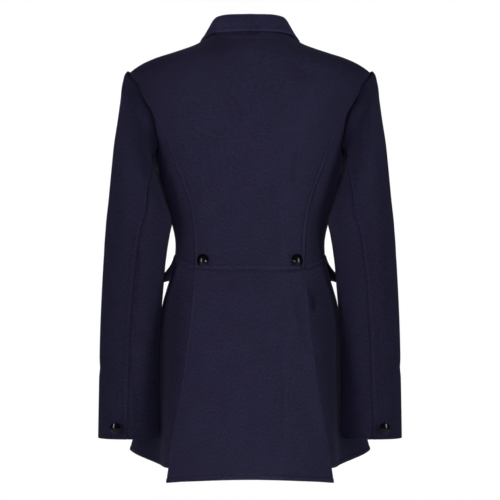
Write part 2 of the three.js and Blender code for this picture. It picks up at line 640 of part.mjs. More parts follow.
// Each section runs from the fall's edge up its outer face, over the roll and down the neck side of the stand.
function collar() {
  const columns = 26;
  const sectionAt = smoothTable(
    COLLAR, ['rollOut', 'rollUp', 'edgeOut', 'edgeUp'], COLLAR.map((row) => row.angle),
  );
  const sections = Array.from({ length: columns + 1 }, (_, i) => {
    const angle = blend(-NECK_END_ANGLE, NECK_END_ANGLE, i / columns);
    const foot = figurePoint(angle, RISE.neck);
    const along = figurePoint(angle + 1, RISE.neck).sub(figurePoint(angle - 1, RISE.neck)).setZ(0).normalize();
    const out = new THREE.Vector3(-along.y, along.x, 0);
    const row = sectionAt(Math.abs(angle));
    const point = (outward, up) => foot.clone().addScaledVector(out, outward).add(new THREE.Vector3(0, 0, up));
    const [centreOut, centreUp] = [row.rollOut, row.rollUp - COLLAR_ROLL_RADIUS];
    const slant = Math.atan2(row.edgeOut - centreOut, centreUp - row.edgeUp);
    const arc = Array.from({ length: 5 }, (__, k) => {
      const turn = blend(slant, Math.PI, k / 4);
      const [across, above] = [COLLAR_ROLL_RADIUS * Math.cos(turn), COLLAR_ROLL_RADIUS * Math.sin(turn)];
      return point(centreOut + across, centreUp + above);
    });
    const edge = point(row.edgeOut, row.edgeUp);
    const fall = [0, 0.34, 0.68].map((t) => (
      edge.clone().lerp(arc[0], t).addScaledVector(out, COLLAR_BOW * Math.sin(Math.PI * t))
    ));
    const standFoot = point(-COLLAR_CLOTH, SEAM_GAP / 2);
    const stand = [0.5, 1].map((t) => arc[4].clone().lerp(standFoot, t));
    return [...fall, ...arc, ...stand];
  });
  const points = sections[0].map((_, j) => sections.map((section) => section[j]));
  return wallGeometry(points, gridNormals(points), COLLAR_CLOTH);
}

// ---- Buttons -------------------------------------------------------------------------------------------

// A domed button on a short shank, its axis along +Z and its shank's foot at 0.
function buttonGeometry({ radius, height }) {
  const under = height * 0.32;
  const dome = (t) => [radius * Math.cos(t), under + (height - under) * (0.3 + 0.7 * Math.sin(t))];
  const outline = [
    [0, 0], [radius * 0.3, 0], [radius * 0.3, under], [radius * 0.9, under],
    ...[0, 0.5, 1].map(dome), [0, height],
  ];
  return new THREE.LatheGeometry(outline.map(([r, h]) => new THREE.Vector2(r, h)), BUTTON_SEGMENTS)
    .rotateX(Math.PI / 2);
}

function placeButton(mesh, point, normal, gap = LAYER_GAP) {
  mesh.position.copy(point).addScaledVector(normal, gap);
  mesh.quaternion.setFromUnitVectors(new THREE.Vector3(0, 0, 1), normal);
}

// ---- The coat ------------------------------------------------------------------------------------------

const coat = new THREE.Group();
coat.name = 'frock_coat';
const cloth = new THREE.MeshStandardMaterial(NAVY);
const buttonStuff = new THREE.MeshStandardMaterial(BUTTON_DARK);

function addPiece(name, geometry, material = cloth) {
  const mesh = new THREE.Mesh(geometry, material);
  mesh.name = name;
  coat.add(mesh);
  return mesh;
}

function addPair(name, geometry) {
  addPiece(`${name}_left`, geometry);
  addPiece(`${name}_right`, mirrored(geometry));
}

addPiece('back_panel', backPanel());
addPair('side_back', sideBack());
addPiece('front_left', frontPanel(-FRONT_STEP));
addPiece('front_right', mirrored(frontPanel(FRONT_STEP)));
addPiece('lapel_left', lapel(-FRONT_STEP, LEFT_LAPEL_FOOT));
addPiece('lapel_right', mirrored(lapel(FRONT_STEP, { roll: ROLL_FOOT, edge: LAPEL_EDGE[0] })));
addPiece('collar', collar());
addPair('top_sleeve', topSleeve());
addPair('under_sleeve', underSleeve());
addPiece('skirt_back', backSkirt());
addPiece('skirt_left', frontSkirt(-FRONT_STEP));
addPiece('skirt_right', mirrored(frontSkirt(FRONT_STEP)));
addPiece('pocket_flap_left', pocketFlap(-FRONT_STEP));
addPiece('pocket_flap_right', mirrored(pocketFlap(FRONT_STEP)));

for (const side of [1, -1]) {
  const hand = side > 0 ? 'left' : 'right';
  const mirror = (v) => v.clone().multiply(new THREE.Vector3(side, 1, 1));

  const backButton = addPiece(`back_button_${hand}`, buttonGeometry(BACK_BUTTON), buttonStuff);
  const { x: angle, y: rise } = locate(BACK_BUTTON, 'back');
  placeButton(backButton, mirror(figurePoint(angle, rise)), mirror(normalOf(figurePoint, angle, rise)));

  // A cuff button hangs from its thread, so that its face tips down and its lower edge rests on the sleeve.
  const cuffButton = addPiece(`cuff_button_${hand}`, buttonGeometry(CUFF_BUTTON), buttonStuff);
  const { column, row, droop, lift } = CUFF_BUTTON;
  const outward = normalOf(sleevePoint, column, row, 0.05, 0.02);
  const facing = outward.clone().applyAxisAngle(new THREE.Vector3(1, 0, 0), -droop * DEGREE);
  placeButton(cuffButton, mirror(sleevePoint(column, row).addScaledVector(outward, lift)), mirror(facing), 0);
}

const rightFront = frontSurface(FRONT_STEP);
for (let k = 0; k < FRONT_BUTTON.count; k += 1) {
  const at = locate({ x: 0, z: FRONT_BUTTON.top - FRONT_BUTTON.pitch * k }, 'front');
  const button = addPiece(`front_button_${k + 1}`, buttonGeometry(FRONT_BUTTON), buttonStuff);
  placeButton(button, rightFront(at.x, at.y), normalOf(rightFront, at.x, at.y));
}

export default coat;
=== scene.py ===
"""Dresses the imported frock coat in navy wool, with welts, stitching, lining and soft folds."""

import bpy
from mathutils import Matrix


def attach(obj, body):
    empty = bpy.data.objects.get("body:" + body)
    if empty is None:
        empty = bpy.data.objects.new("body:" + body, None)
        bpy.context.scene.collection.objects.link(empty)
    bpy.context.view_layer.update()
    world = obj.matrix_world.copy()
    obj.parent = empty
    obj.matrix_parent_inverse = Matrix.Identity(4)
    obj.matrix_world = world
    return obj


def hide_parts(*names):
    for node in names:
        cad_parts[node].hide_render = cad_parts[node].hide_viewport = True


bl_info = {
    "name": "Frock coat",
    "version": (1, 0, 0),
    "blender": (4, 5, 0),
    "location": "3D View > Sidebar > Frock coat",
    "description": "Lays wool, lining, stitching and buttons over the packed solids of a frock coat",
    "category": "Object",
}

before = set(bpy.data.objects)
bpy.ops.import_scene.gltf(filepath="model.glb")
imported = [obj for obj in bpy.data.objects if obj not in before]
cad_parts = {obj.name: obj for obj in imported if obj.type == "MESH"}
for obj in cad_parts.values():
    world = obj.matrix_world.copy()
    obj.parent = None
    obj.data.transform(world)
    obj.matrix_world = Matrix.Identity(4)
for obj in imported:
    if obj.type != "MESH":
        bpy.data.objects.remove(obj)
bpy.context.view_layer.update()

import math

import bpy
import numpy as np
from bpy.props import FloatProperty, FloatVectorProperty, PointerProperty
from mathutils import Vector

MM = 0.001
TINY = 1e-12  # keeps a length of nothing out of a division
STITCHED = 8.2 * MM  # topstitching to the finished edge beside it
UP, DOWN = (0, 0, 1), (0, 0, -1)
LEFT, BACK, FRONT, RIGHT = (1, 0, 0), (0, 1, 0), (0, -1, 0), (-1, 0, 0)

# How each cloth solid is ruled: rows, columns, the way its rows run and the way its columns run.
RULING = {
    "back_panel": (24, 18, UP, LEFT),
    "side_back_left": (12, 8, UP, FRONT),
    "side_back_right": (12, 8, UP, FRONT),
    "front_left": (26, 12, UP, FRONT),
    "front_right": (26, 12, UP, FRONT),
    "lapel_left": (12, 6, UP, RIGHT),
    "lapel_right": (12, 6, UP, LEFT),
    "collar": (9, 26, FRONT, LEFT),
    "top_sleeve_left": (14, 20, DOWN, BACK),
    "top_sleeve_right": (14, 20, DOWN, BACK),
    "under_sleeve_left": (14, 8, DOWN, FRONT),
    "under_sleeve_right": (14, 8, DOWN, FRONT),
    "skirt_back": (12, 26, UP, LEFT),
    "skirt_left": (12, 26, UP, FRONT),
    "skirt_right": (12, 26, UP, FRONT),
    "pocket_flap_left": (5, 8, UP, FRONT),
    "pocket_flap_right": (5, 8, UP, FRONT),
}


# ---- Sizes and colours ---------------------------------------------------------------------------------


class ClothSizes(bpy.types.PropertyGroup):
    """The cloth and how it is sewn"""

    thickness: FloatProperty(
        name="Thickness", description="Wool with its lining", default=2.3 * MM, unit="LENGTH")
    mesh_pitch: FloatProperty(
        name="Mesh pitch", description="Distance between mesh lines on open cloth",
        default=3.6 * MM, unit="LENGTH")
    welt_width: FloatProperty(
        name="Welt width", description="Seam to topstitching", default=8.2 * MM, unit="LENGTH")
    welt_rise: FloatProperty(
        name="Welt rise", description="How far a topstitched seam stands up", default=1.0 * MM, unit="LENGTH")
    stitch_length: FloatProperty(
        name="Stitch length", description="One topstitch", default=2.9 * MM, unit="LENGTH")
    thread: FloatProperty(
        name="Thread", description="Thickness of the topstitching thread", default=0.42 * MM, unit="LENGTH")


class CoatColours(bpy.types.PropertyGroup):
    """Colours of the cloth, its lining, thread and buttons"""

    wool: FloatVectorProperty(
        name="Wool", description="Face of the wool", subtype="COLOR", size=3,
        default=(0.0178, 0.0162, 0.0415))
    fleck: FloatProperty(
        name="Fleck", description="How far single yarns are lighter or darker", default=0.5, min=0, max=1)
    lining: FloatVectorProperty(
        name="Lining", description="Satin lining", subtype="COLOR", size=3, default=(0.008, 0.0075, 0.019))
    thread: FloatVectorProperty(
        name="Thread", description="Topstitching", subtype="COLOR", size=3, default=(0.015, 0.014, 0.033))
    button: FloatVectorProperty(
        name="Buttons", description="Glossy resin", subtype="COLOR", size=3, default=(0.0022, 0.0022, 0.005))


class StudioSettings(bpy.types.PropertyGroup):
    """Floor, lights and camera"""

    floor_drop: FloatProperty(
        name="Floor", description="Floor under the top of the shoulders", default=1.42, unit="LENGTH")
    floor_radius: FloatProperty(
        name="Floor radius", description="The floor fades out towards this", default=3.3, unit="LENGTH")
    camera_distance: FloatProperty(
        name="Camera distance", description="From the middle of the coat", default=3.0, unit="LENGTH")
    view_width: FloatProperty(
        name="View width", description="Width seen at the middle of the coat", default=0.85, unit="LENGTH")
    side_power: FloatProperty(
        name="Side softboxes", description="Power of each softbox to the side", default=24.5, unit="POWER")
    side_angle: FloatProperty(
        name="Side angle", description="From the camera to each of them",
        default=math.radians(54), unit="ROTATION")
    strip_power: FloatProperty(
        name="Strip light", description="Power of the gridded strip behind the camera",
        default=0.53, unit="POWER")
    strip_spread: FloatProperty(
        name="Strip spread", description="Angle that its grid opens to",
        default=math.radians(4), unit="ROTATION")
    front_power: FloatProperty(
        name="Front softbox", description="Power of the softbox before the coat", default=38.0, unit="POWER")
    fill: FloatProperty(name="Fill", description="Strength of the light from all round", default=0.03)


class CoatSettings(bpy.types.PropertyGroup):
    """Everything a user may change on the coat"""

    cloth: PointerProperty(type=ClothSizes)
    colours: PointerProperty(type=CoatColours)
    studio: PointerProperty(type=StudioSettings)


# ---- Reading a ruled solid -----------------------------------------------------------------------------

# The eight places round a ruling point, in turn.
TURN = [(0, 1), (1, 1), (1, 0), (1, -1), (0, -1), (-1, -1), (-1, 0), (-1, 1)]


def welded(node):
    """Points and triangles of a solid, each point once."""
    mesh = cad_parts[node].data
    points = np.empty(len(mesh.vertices) * 3)
    mesh.vertices.foreach_get("co", points)
    corners = np.empty(len(mesh.loops), int)
    mesh.loops.foreach_get("vertex_index", corners)
    points, index = np.unique(np.round(points.reshape(-1, 3), 7), axis=0, return_inverse=True)
    return points, index.reshape(-1)[corners].reshape(-1, 3)


def ruled_layers(node, rows, columns):
    """The two ruled faces of a cloth solid as grids of point numbers.
    Every second ruling point carries the diagonals, so inside a face the points have eight or
    four neighbours in turn."""
    points, triangles = welded(node)
    following = [{} for _ in points]
    for a, b, c in triangles.tolist():
        following[a][b], following[b][c], following[c][a] = c, a, b

    def ring(v, first):
        around = [first]
        while following[v][around[-1]] != first:
            around.append(following[v][around[-1]])
        return around

    layers, taken = [], set()
    for seed in range(len(points)):
        if len(layers) == 2:
            break
        if seed in taken or len(following[seed]) != 8:
            continue
        around = ring(seed, next(iter(following[seed])))
        counts = [len(following[v]) for v in around]
        if sorted(counts) != [4] * 4 + [8] * 4:
            continue
        straight = around[counts.index(4)]
        place, queue = {seed: (0, 0), straight: TURN[0]}, [(seed, straight), (straight, seed)]
        done = set()
        while queue:
            v, known = queue.pop()
            r, c = place[v]
            even = (r + c) % 2 == 0
            if v in done or len(following[v]) != (8 if even else 4):
                continue
            done.add(v)
            start = TURN.index((place[known][0] - r, place[known][1] - c))
            for k, w in enumerate(ring(v, known)):
                dr, dc = TURN[(start + k * (1 if even else 2)) % 8]
                if w not in place:
                    place[w] = (r + dr, c + dc)
                queue.append((w, v))
        cells = np.array(list(place.values()))
        low = cells.min(0)
        grid = np.full(tuple(cells.max(0) - low + 1), -1)
        for v, cell in place.items():
            grid[tuple(np.array(cell) - low)] = v
        for r, c in np.argwhere(grid < 0):
            a = grid[r, c + 1 if c == 0 else c - 1]
            b = grid[r + 1 if r == 0 else r - 1, c]
            grid[r, c] = next(v for v in (following[a][b], following[b][a]) if v not in place)
        taken.update(grid.ravel().tolist())
        layers.append(grid if grid.shape == (rows + 1, columns + 1) else grid.T)
    if len(layers) != 2 or any(grid.shape != (rows + 1, columns + 1) for grid in layers):
        raise RuntimeError(f"{node} is not ruled in {rows} rows and {columns} columns")
    return points, layers


def outer_face(node):
    """The outer face of a cloth solid as rows of points, and whether across x up points out of it.
    On a sleeve or the rolled collar it is the larger face, elsewhere the one further from the
    middle of the coat."""
    rows, columns, up, across = RULING[node]
    points, layers = ruled_layers(node, rows, columns)

    def area(grid):
        p = points[grid]
        return np.linalg.norm(np.cross(p[1:, 1:] - p[:-1, :-1], p[1:, :-1] - p[:-1, 1:]), axis=-1).sum()

    def reach(grid):
        return np.linalg.norm(points[grid][..., :2], axis=-1).mean()

    rolled = "sleeve" in node or node == "collar"
    outer, inner = sorted(layers, key=area if rolled else reach, reverse=True)
    face = points[outer]
    if (face[-1].mean(0) - face[0].mean(0)) @ np.array(up) < 0:
        face = face[::-1]
    if (face[:, -1].mean(0) - face[:, 0].mean(0)) @ np.array(across) < 0:
        face = face[:, ::-1]
    middle = face[rows // 2, columns // 2]
    normal = np.cross(face[rows // 2, columns // 2 + 1] - middle, face[rows // 2 + 1, columns // 2] - middle)
    behind = points[inner].reshape(-1, 3)
    nearest = behind[np.linalg.norm(behind - middle, axis=1).argmin()]
    return face, 1 if normal @ (middle - nearest) > 0 else -1


# ---- Smooth cloth over a ruled face --------------------------------------------------------------------


def slopes(before, after, first, last):
    """Slope where two chords of a line meet, from the chords' own slopes and lengths."""
    return (before * last[..., None] + after * first[..., None]) / (first + last + TINY)[..., None]


def cubic(p, q, m, n, length, t):
    """A point at share t of a smooth line that leaves p along m and reaches q along n."""
    t, length = t[..., None], length[..., None]
    squared = 3 * (q - p) - (2 * m + n) * length
    cubed = 2 * (p - q) + (m + n) * length
    return p + t * (m * length + t * (squared + t * cubed))


class Surface:
    """A smooth surface through a grid of points. Breaks are places where a side turns a corner."""

    def __init__(self, grid, row_breaks=(), column_breaks=()):
        self.grid = grid
        self.rows, self.columns = grid.shape[0] - 1, grid.shape[1] - 1
        self.row_breaks = row_breaks
        steps = np.diff(grid, axis=1)
        self.length = np.linalg.norm(steps, axis=-1)
        chord = steps / (self.length[..., None] + TINY)
        inner = slopes(chord[:, :-1], chord[:, 1:], self.length[:, :-1], self.length[:, 1:])
        first, last = 2 * chord[:, :1] - inner[:, :1], 2 * chord[:, -1:] - inner[:, -1:]
        self.starts = np.concatenate([first, inner], 1)
        self.ends = np.concatenate([inner, last], 1)
        for side, column in column_breaks:
            row = 0 if side == "low" else self.rows
            self.ends[row, column - 1] = 2 * chord[row, column - 1] - self.starts[row, column - 1]
            self.starts[row, column] = 2 * chord[row, column] - self.ends[row, column]

    def on_row(self, row, at):
        """Points of the smooth line through one row of the grid."""
        k = np.clip(np.floor(at).astype(int), 0, self.columns - 1)
        return cubic(self.grid[row, k], self.grid[row, k + 1], self.starts[row, k], self.ends[row, k],
                     self.length[row, k], at - k)

    def at(self, row_at, column_at):
        """Points of the surface, placed by rows and columns of the grid and parts of them."""
        k = np.clip(np.floor(row_at).astype(int), 0, self.rows - 1)
        q = [self.on_row(np.clip(k + d, 0, self.rows), column_at) for d in (-1, 0, 1, 2)]
        chords, lengths = [], []
        for a, b in zip(q, q[1:]):
            length = np.linalg.norm(b - a, axis=-1)
            chords.append((b - a) / (length[..., None] + TINY))
            lengths.append(length)
        start = slopes(chords[0], chords[1], lengths[0], lengths[1])
        end = slopes(chords[1], chords[2], lengths[1], lengths[2])
        lone_start, lone_end = 2 * chords[1] - end, 2 * chords[1] - start
        start = np.where((k == 0)[..., None], lone_start, start)
        end = np.where((k == self.rows - 1)[..., None], lone_end, end)
        for side, row in self.row_breaks:
            beside = 1 - column_at if side == "left" else column_at - self.columns + 1
            share = np.clip(beside, 0, 1)[..., None]
            start = np.where((k == row)[..., None], start + (lone_start - start) * share, start)
            end = np.where((k == row - 1)[..., None], end + (lone_end - end) * share, end)
        return cubic(q[1], q[2], start, end, lengths[1], row_at - k)


def along(points, axis):
    """Distance from the first line, along each line of a grid."""
    steps = np.linalg.norm(np.diff(points, axis=axis), axis=-1)
    return np.concatenate([np.zeros_like(np.take(steps, [0], axis)), np.cumsum(steps, axis)], axis)


EDGE_SHARE = 0.8  # the most of a short line that the fixed distances at its ends may take


def shared_out(length, low, high, pitch):
    """Fixed distances from both ends of lines of these lengths, and even ones between.
    Every line gets the same number of them."""
    low, high = np.array(low), np.array(high)
    middle = max(2, int(round((length.mean() - low[-1] - high[-1]) / pitch)))
    squeeze = np.minimum(1, EDGE_SHARE * length / (low[-1] + high[-1] + 1e-9))[:, None]
    start, end = low * squeeze, length[:, None] - high[::-1] * squeeze
    t = np.linspace(0, 1, middle + 1)[1:-1]
    return np.concatenate([start, start[:, -1:] * (1 - t) + end[:, :1] * t, end], axis=1)


# Distances in millimetres from an edge to the mesh lines beside it, closest where the cloth bends.
SEAM_LINES = [0, 0.25, 0.6, 1.1, 1.8, 3.0, 4.3, 6.0, 8.5]
WELT_LINES = [0, 0.25, 0.6, 1.1, 2.0, 3.2, 4.6, 6.0, 7.1, 7.7, 8.2, 8.7, 9.4, 10.8, 13]
EDGE_LINES = [0, 0.12, 0.35, 0.7, 1.15, 2.2, 4, 6, 7.2, 7.7, 8.2, 8.7, 9.2, 10.2, 12]
PLEAT_LINES = [0, 0.12, 0.35, 0.7, 1.15, 2.5, 5, 8, 12, 16, 20, 22.5]
PLEAT_LINES += [*np.arange(23.4, 33.5, 0.75), 34.5, 36, 38.5, 41]

ROW_SAMPLES, COLUMN_SAMPLES = 6, 8  # to each row and column of a ruled face, when it is measured

GROOVE_WIDTH = 0.7 * MM  # half of the groove that a row of stitches sinks
WELT_GROOVE, EDGE_GROOVE = 0.5 * MM, 0.55 * MM  # its depth beside a seam and along a finished edge
EDGE_PUFF = 0.45 * MM  # how far the cloth swells between a finished edge and its stitches
RIM_WIDTH = 3.2 * MM
# Painted tones: 1 is cloth painted as light as it gets, 0 is plain cloth.
CREST_TONE, RIM_TONE = 0.42, 0.7  # added on a welt's crest as a painted highlight, and along a rim
GROOVE_TONE, SEAM_TONE = 0.45, 0.55  # taken off in a groove and in a drawn-in seam, as painted shade


class Laid:
    """A fine grid laid over a ruled face: points p, outward normals n, and distances to each side."""

    def __init__(self, surface, sign, pitch, low, high, left, right):
        rows, columns = surface.rows, surface.columns
        row_pitch, column_pitch = pitch if isinstance(pitch, tuple) else (pitch, pitch)
        dense_row, dense_column = np.meshgrid(
            np.linspace(0, rows, rows * ROW_SAMPLES + 1),
            np.linspace(0, columns, columns * COLUMN_SAMPLES + 1), indexing="ij")
        dense = surface.at(dense_row, dense_column)
        reach = along(dense, 1)
        wanted = shared_out(reach[:, -1], np.array(left) * MM, np.array(right) * MM, column_pitch)
        column_at = np.array([np.interp(w, r, c) for w, r, c in zip(wanted, reach, dense_column)])
        row_at = np.repeat(dense_row[:, :1], column_at.shape[1], 1)
        climb = along(surface.at(row_at, column_at), 0).T
        wanted = shared_out(climb[:, -1], np.array(low) * MM, np.array(high) * MM, row_pitch)
        self.row_at = np.array([np.interp(w, c, dense_row[:, 0]) for w, c in zip(wanted, climb)]).T
        self.column_at = np.array([
            np.interp(self.row_at[:, i], dense_row[:, 0], column_at[:, i])
            for i in range(column_at.shape[1])]).T
        self.p = surface.at(self.row_at, self.column_at)
        self.sign = sign
        self.n = self.normals(self.p)
        self.u, self.v = along(self.p, 1), along(self.p, 0)
        self.left, self.right = self.u, self.u[:, -1:] - self.u
        self.low, self.high = self.v, self.v[-1:] - self.v
        # Painted light and shade laid on as colour: above 0 lighter, below 0 darker.
        self.rubbed = np.zeros(self.low.shape)

    def normals(self, p):
        across, up = np.gradient(p, axis=1), np.gradient(p, axis=0)
        n = np.cross(across, up) * self.sign
        return n / np.maximum(np.linalg.norm(n, axis=-1, keepdims=True), TINY)

    def lift(self, height):
        """Moves the outer face out by a height at each point."""
        self.p = self.p + self.n * height[..., None]

    def welted(self, side, width, rise, shown=1.0):
        """A padded strip beside a seam, closed by a sunk row of stitches.
        Its crest is painted lighter as a highlight, and its groove darker as shade."""
        d = getattr(self, side)
        crest = np.clip(1 - (2 * d / width - 1) ** 2, 0, 1) * (d < width)
        groove = np.exp(-(((d - width) / GROOVE_WIDTH) ** 2))
        # Painted highlight on the crest and painted shade in the groove.
        self.rubbed += (CREST_TONE * crest**2 - GROOVE_TONE * groove) * shown
        self.lift((rise * crest - WELT_GROOVE * groove) * shown)

    def shaded(self, tones):
        """Painted shade and light, laid alike on both sides of the coat, each with its tone in the place of a
        height.
        """
        for side in (1, -1):
            self.rubbed += fold_height(self.p, self.n, tones, side) / MM

    def pinched(self, side, depth=1.5 * MM, width=1.6 * MM, shown=1.0):
        """An edge that its seam draws in, painted darker there as shade."""
        dip = np.exp(-((getattr(self, side) / width) ** 2)) * shown
        # Painted shade where the seam draws the cloth in.
        self.rubbed -= SEAM_TONE * dip
        self.lift(-depth * dip)

    def edge_stitched(self, side, shown=1.0):
        """A finished edge with a sunk row of stitches along it, painted darker in the groove as shade and
        lighter along its rim.
        """
        d = getattr(self, side)
        puff = np.clip(1 - (2 * d / STITCHED - 1) ** 2, 0, 1) * (d < STITCHED)
        groove = np.exp(-(((d - STITCHED) / GROOVE_WIDTH) ** 2))
        # Painted shade in the groove; the rim is laid lighter.
        self.rubbed += (RIM_TONE * np.exp(-((d / RIM_WIDTH) ** 2)) - GROOVE_TONE * groove) * shown
        self.lift((EDGE_PUFF * puff - EDGE_GROOVE * groove) * shown)

    def outwards(self, side):
        """The way out of the cloth at each point of a side, across its edge."""
        p = self.p
        step = {"left": p[:, :1] - p[:, 1:2], "right": p[:, -1:] - p[:, -2:-1],
                "low": p[:1] - p[1:2], "high": p[-1:] - p[-2:-1]}[side]
        return step / np.linalg.norm(step, axis=-1, keepdims=True)

    def area(self):
        p = self.p
        return np.linalg.norm(np.cross(p[1:, 1:] - p[:-1, :-1], p[1:, :-1] - p[:-1, 1:]), axis=-1).sum() / 2


def rounded(distance, radius, depth):
    """How far a face drops towards an edge that is turned with this radius."""
    t = np.clip(1 - distance / radius, 0, 1)
    return depth * (1 - np.sqrt(1 - t * t))


def ease(t):
    """Runs softly from 0 at 0 to 1 at 1."""
    t = np.clip(t, 0, 1)
    return t * t * (3 - 2 * t)


# ---- Soft folds ----------------------------------------------------------------------------------------

# Each fold: the way it faces, its line in millimetres, its width and its height, below 0 a trough.
# A line's points are across and height. Across is x where the fold faces the back or the front,
# and y on a side.
BODY_FOLDS = [
    (BACK, [(71, -176), (62, -240), (79, -338)], 13, -1.6),
    (BACK, [(-71, -170), (-62, -238), (-78, -334)], 13, -1.6),
    (BACK, [(40, -120), (41, -190), (38, -252)], 15, 1.3),
    (BACK, [(-41, -116), (-41, -188), (-39, -256)], 15, 1.3),
    (BACK, [(3, -210), (-2, -300), (0, -366)], 22, -0.9),
    (BACK, [(110, -92), (126, -138), (120, -186)], 16, 1.0),
    (BACK, [(-110, -90), (-126, -136), (-120, -184)], 16, 1.0),
    (BACK, [(108, -262), (106, -310), (112, -362)], 11, -2.0),
    (BACK, [(-108, -260), (-106, -308), (-112, -360)], 11, -2.0),
    (BACK, [(156, -120), (150, -160), (152, -206)], 8, -2.2),
    (BACK, [(-156, -120), (-150, -160), (-152, -206)], 8, -2.2),
    (BACK, [(90, -398), (91, -430), (98, -462)], 9, -1.5),
    (BACK, [(-90, -398), (-91, -432), (-98, -464)], 9, -1.5),
    (BACK, [(112, -432), (114, -446), (116, -462)], 7, 1.2),
    (BACK, [(-112, -430), (-114, -446), (-116, -462)], 7, 1.2),
    (BACK, [(52, -430), (58, -540), (74, -700)], 24, 1.4),
    (BACK, [(-52, -426), (-60, -548), (-72, -700)], 25, 1.5),
    (BACK, [(96, -480), (104, -560), (112, -660)], 12, -1.3),
    (BACK, [(-96, -484), (-105, -566), (-112, -668)], 12, -1.2),
    (BACK, [(4, -420), (-3, -560), (2, -700)], 26, -1.1),
    (LEFT, [(12, -190), (12, -250), (8, -322)], 17, 0.6),
    (RIGHT, [(12, -190), (12, -250), (8, -322)], 17, 0.6),
    (LEFT, [(-8, -384), (-14, -470), (-22, -640)], 17, -1.7),
    (RIGHT, [(-10, -384), (-12, -480), (-20, -652)], 17, -1.6),
    (LEFT, [(36, -402), (44, -480), (58, -600)], 14, 1.4),
    (RIGHT, [(36, -404), (46, -486), (60, -610)], 14, 1.3),
    (LEFT, [(-40, -300), (-46, -340), (-44, -366)], 11, -1.1),
    (RIGHT, [(-42, -304), (-44, -342), (-47, -366)], 11, -1.0),
    (FRONT, [(60, -236), (66, -290), (70, -356)], 15, -1.2),
    (FRONT, [(-62, -240), (-67, -296), (-69, -358)], 15, -1.1),
    (FRONT, [(96, -210), (104, -260), (104, -330)], 14, 1.0),
    (FRONT, [(-97, -214), (-103, -262), (-104, -334)], 14, 1.0),
    (FRONT, [(58, -400), (66, -520), (74, -670)], 20, 2.0),
    (FRONT, [(-60, -404), (-68, -520), (-77, -664)], 20, 1.9),
    (FRONT, [(28, -420), (32, -540), (36, -650)], 14, -1.6),
    (FRONT, [(-30, -426), (-34, -546), (-38, -646)], 14, -1.5),
]

# On the left sleeve; the right one has them mirrored.
SLEEVE_FOLDS = [
    (BACK, [(207, -84), (196, -104), (176, -150), (156, -204)], 9, -3.6),
    (BACK, [(184, -96), (172, -120), (160, -158)], 6, 0.8),
    (BACK, [(178, -486), (168, -506), (156, -522)], 7, -1.3),
    (BACK, [(192, -512), (180, -532), (162, -552)], 8, -1.4),
    (BACK, [(188, -548), (176, -560), (160, -566)], 6, 1.0),
    (BACK, [(190, -566), (176, -586), (158, -600)], 7, -1.3),
    (BACK, [(216, -450), (212, -500), (216, -560)], 12, 0.9),
    (BACK, [(222, -650), (194, -653), (162, -648)], 8, -1.4),
    (BACK, [(200, -290), (188, -318), (166, -338)], 10, -1.0),
    (RIGHT, [(-52, -176), (-30, -204), (-10, -228), (8, -246), (26, -268), (29, -284), (22, -330)], 17, 1.8),
    (RIGHT, [(24, -376), (22, -420), (20, -500)], 22, 1.8),
    (LEFT, [(-20, -150), (-6, -200), (0, -262)], 14, -1.2),
    (LEFT, [(30, -322), (12, -340), (-10, -350)], 9, -1.6),
    (LEFT, [(26, -362), (6, -372), (-14, -376)], 8, -1.3),
    (LEFT, [(36, -540), (20, -556), (2, -562)], 8, -1.2),
    (FRONT, [(214, -330), (196, -346), (176, -350)], 8, -2.0),
    (FRONT, [(216, -360), (198, -368), (178, -366)], 7, -1.6),
    (FRONT, [(206, -298), (192, -312), (174, -318)], 9, -1.4),
    (FRONT, [(218, -560), (204, -574), (186, -578)], 8, -1.1),
]

# Shade laid on the cloth as colour, set out as the folds are, on the left side and mirrored on the
# right. The lamps alone leave the hollows of the waist, and the side skirts beside the pleats, too
# light. It is no difference in the cloth.
HOLLOW_TONES = [
    (BACK, [(146, -250), (142, -320), (136, -380), (132, -430)], 30, -0.85),
    (BACK, [(116, -270), (112, -330), (112, -385)], 22, -0.40),
]
SIDE_SKIRT_TONES = [
    (BACK, [(126, -330), (134, -440), (140, -560), (150, -680), (160, -760)], 34, -0.80),
]
# The same, lighter, down the outer edge of each upper sleeve.
SLEEVE_TONES = [
    (BACK, [(222, -60), (218, -120), (212, -180), (198, -240), (196, -300)], 18, 0.50),
]
# The skirt stands a little fuller over each hip.
HIP_FOLDS = [
    (LEFT, [(14, -424), (12, -446), (10, -486), (8, -520)], 26, 2.4),
]

FOLD_ENDS, FOLD_TAPER = (0.04, 0.96), 0.7  # how a fold swells and dies away along its line
FOLD_FACING = 0.4  # how squarely cloth has to face a fold's way for the fold to show in full


def fold_height(p, n, folds, side=1):
    """The height of all these folds at points of the cloth. On the other side of the coat, side is -1."""
    p, n = p * (side, 1, 1), n * (side, 1, 1)
    height = np.zeros(p.shape[:-1])
    for facing, line, width, rise in folds:
        place = p[..., [0 if facing in (BACK, FRONT) else 1, 2]]
        line = np.array(line, float) * MM
        lengths = np.linalg.norm(np.diff(line, axis=0), axis=1)
        best, share, gone = np.full(height.shape, np.inf), np.zeros(height.shape), 0.0
        for a, b, length in zip(line, line[1:], lengths):
            t = np.clip((place - a) @ (b - a) / length**2, 0, 1)
            far = np.linalg.norm(place - a - t[..., None] * (b - a), axis=-1)
            share = np.where(far < best, (gone + t * length) / lengths.sum(), share)
            best = np.minimum(far, best)
            gone += length
        taper = np.sin(np.pi * np.clip(share, *FOLD_ENDS)) ** FOLD_TAPER
        shown = ease((n @ np.array(facing, float)) / FOLD_FACING)
        height += rise * MM * np.exp(-((best / (width * MM)) ** 2)) * taper * shown
    return height


# ---- Meshes --------------------------------------------------------------------------------------------


SEAM = 0.9 * MM  # turning radius where two pieces meet
OPEN = 1.15 * MM  # and at a finished edge
SEAM_REACH = 0.3 * MM  # seam edges run on this far, to meet their neighbours
SEAM_FADE = 5 * MM  # over this width of cloth
EDGE_SPARE = 0.05 * MM  # a turned edge stops this short of the middle of the cloth


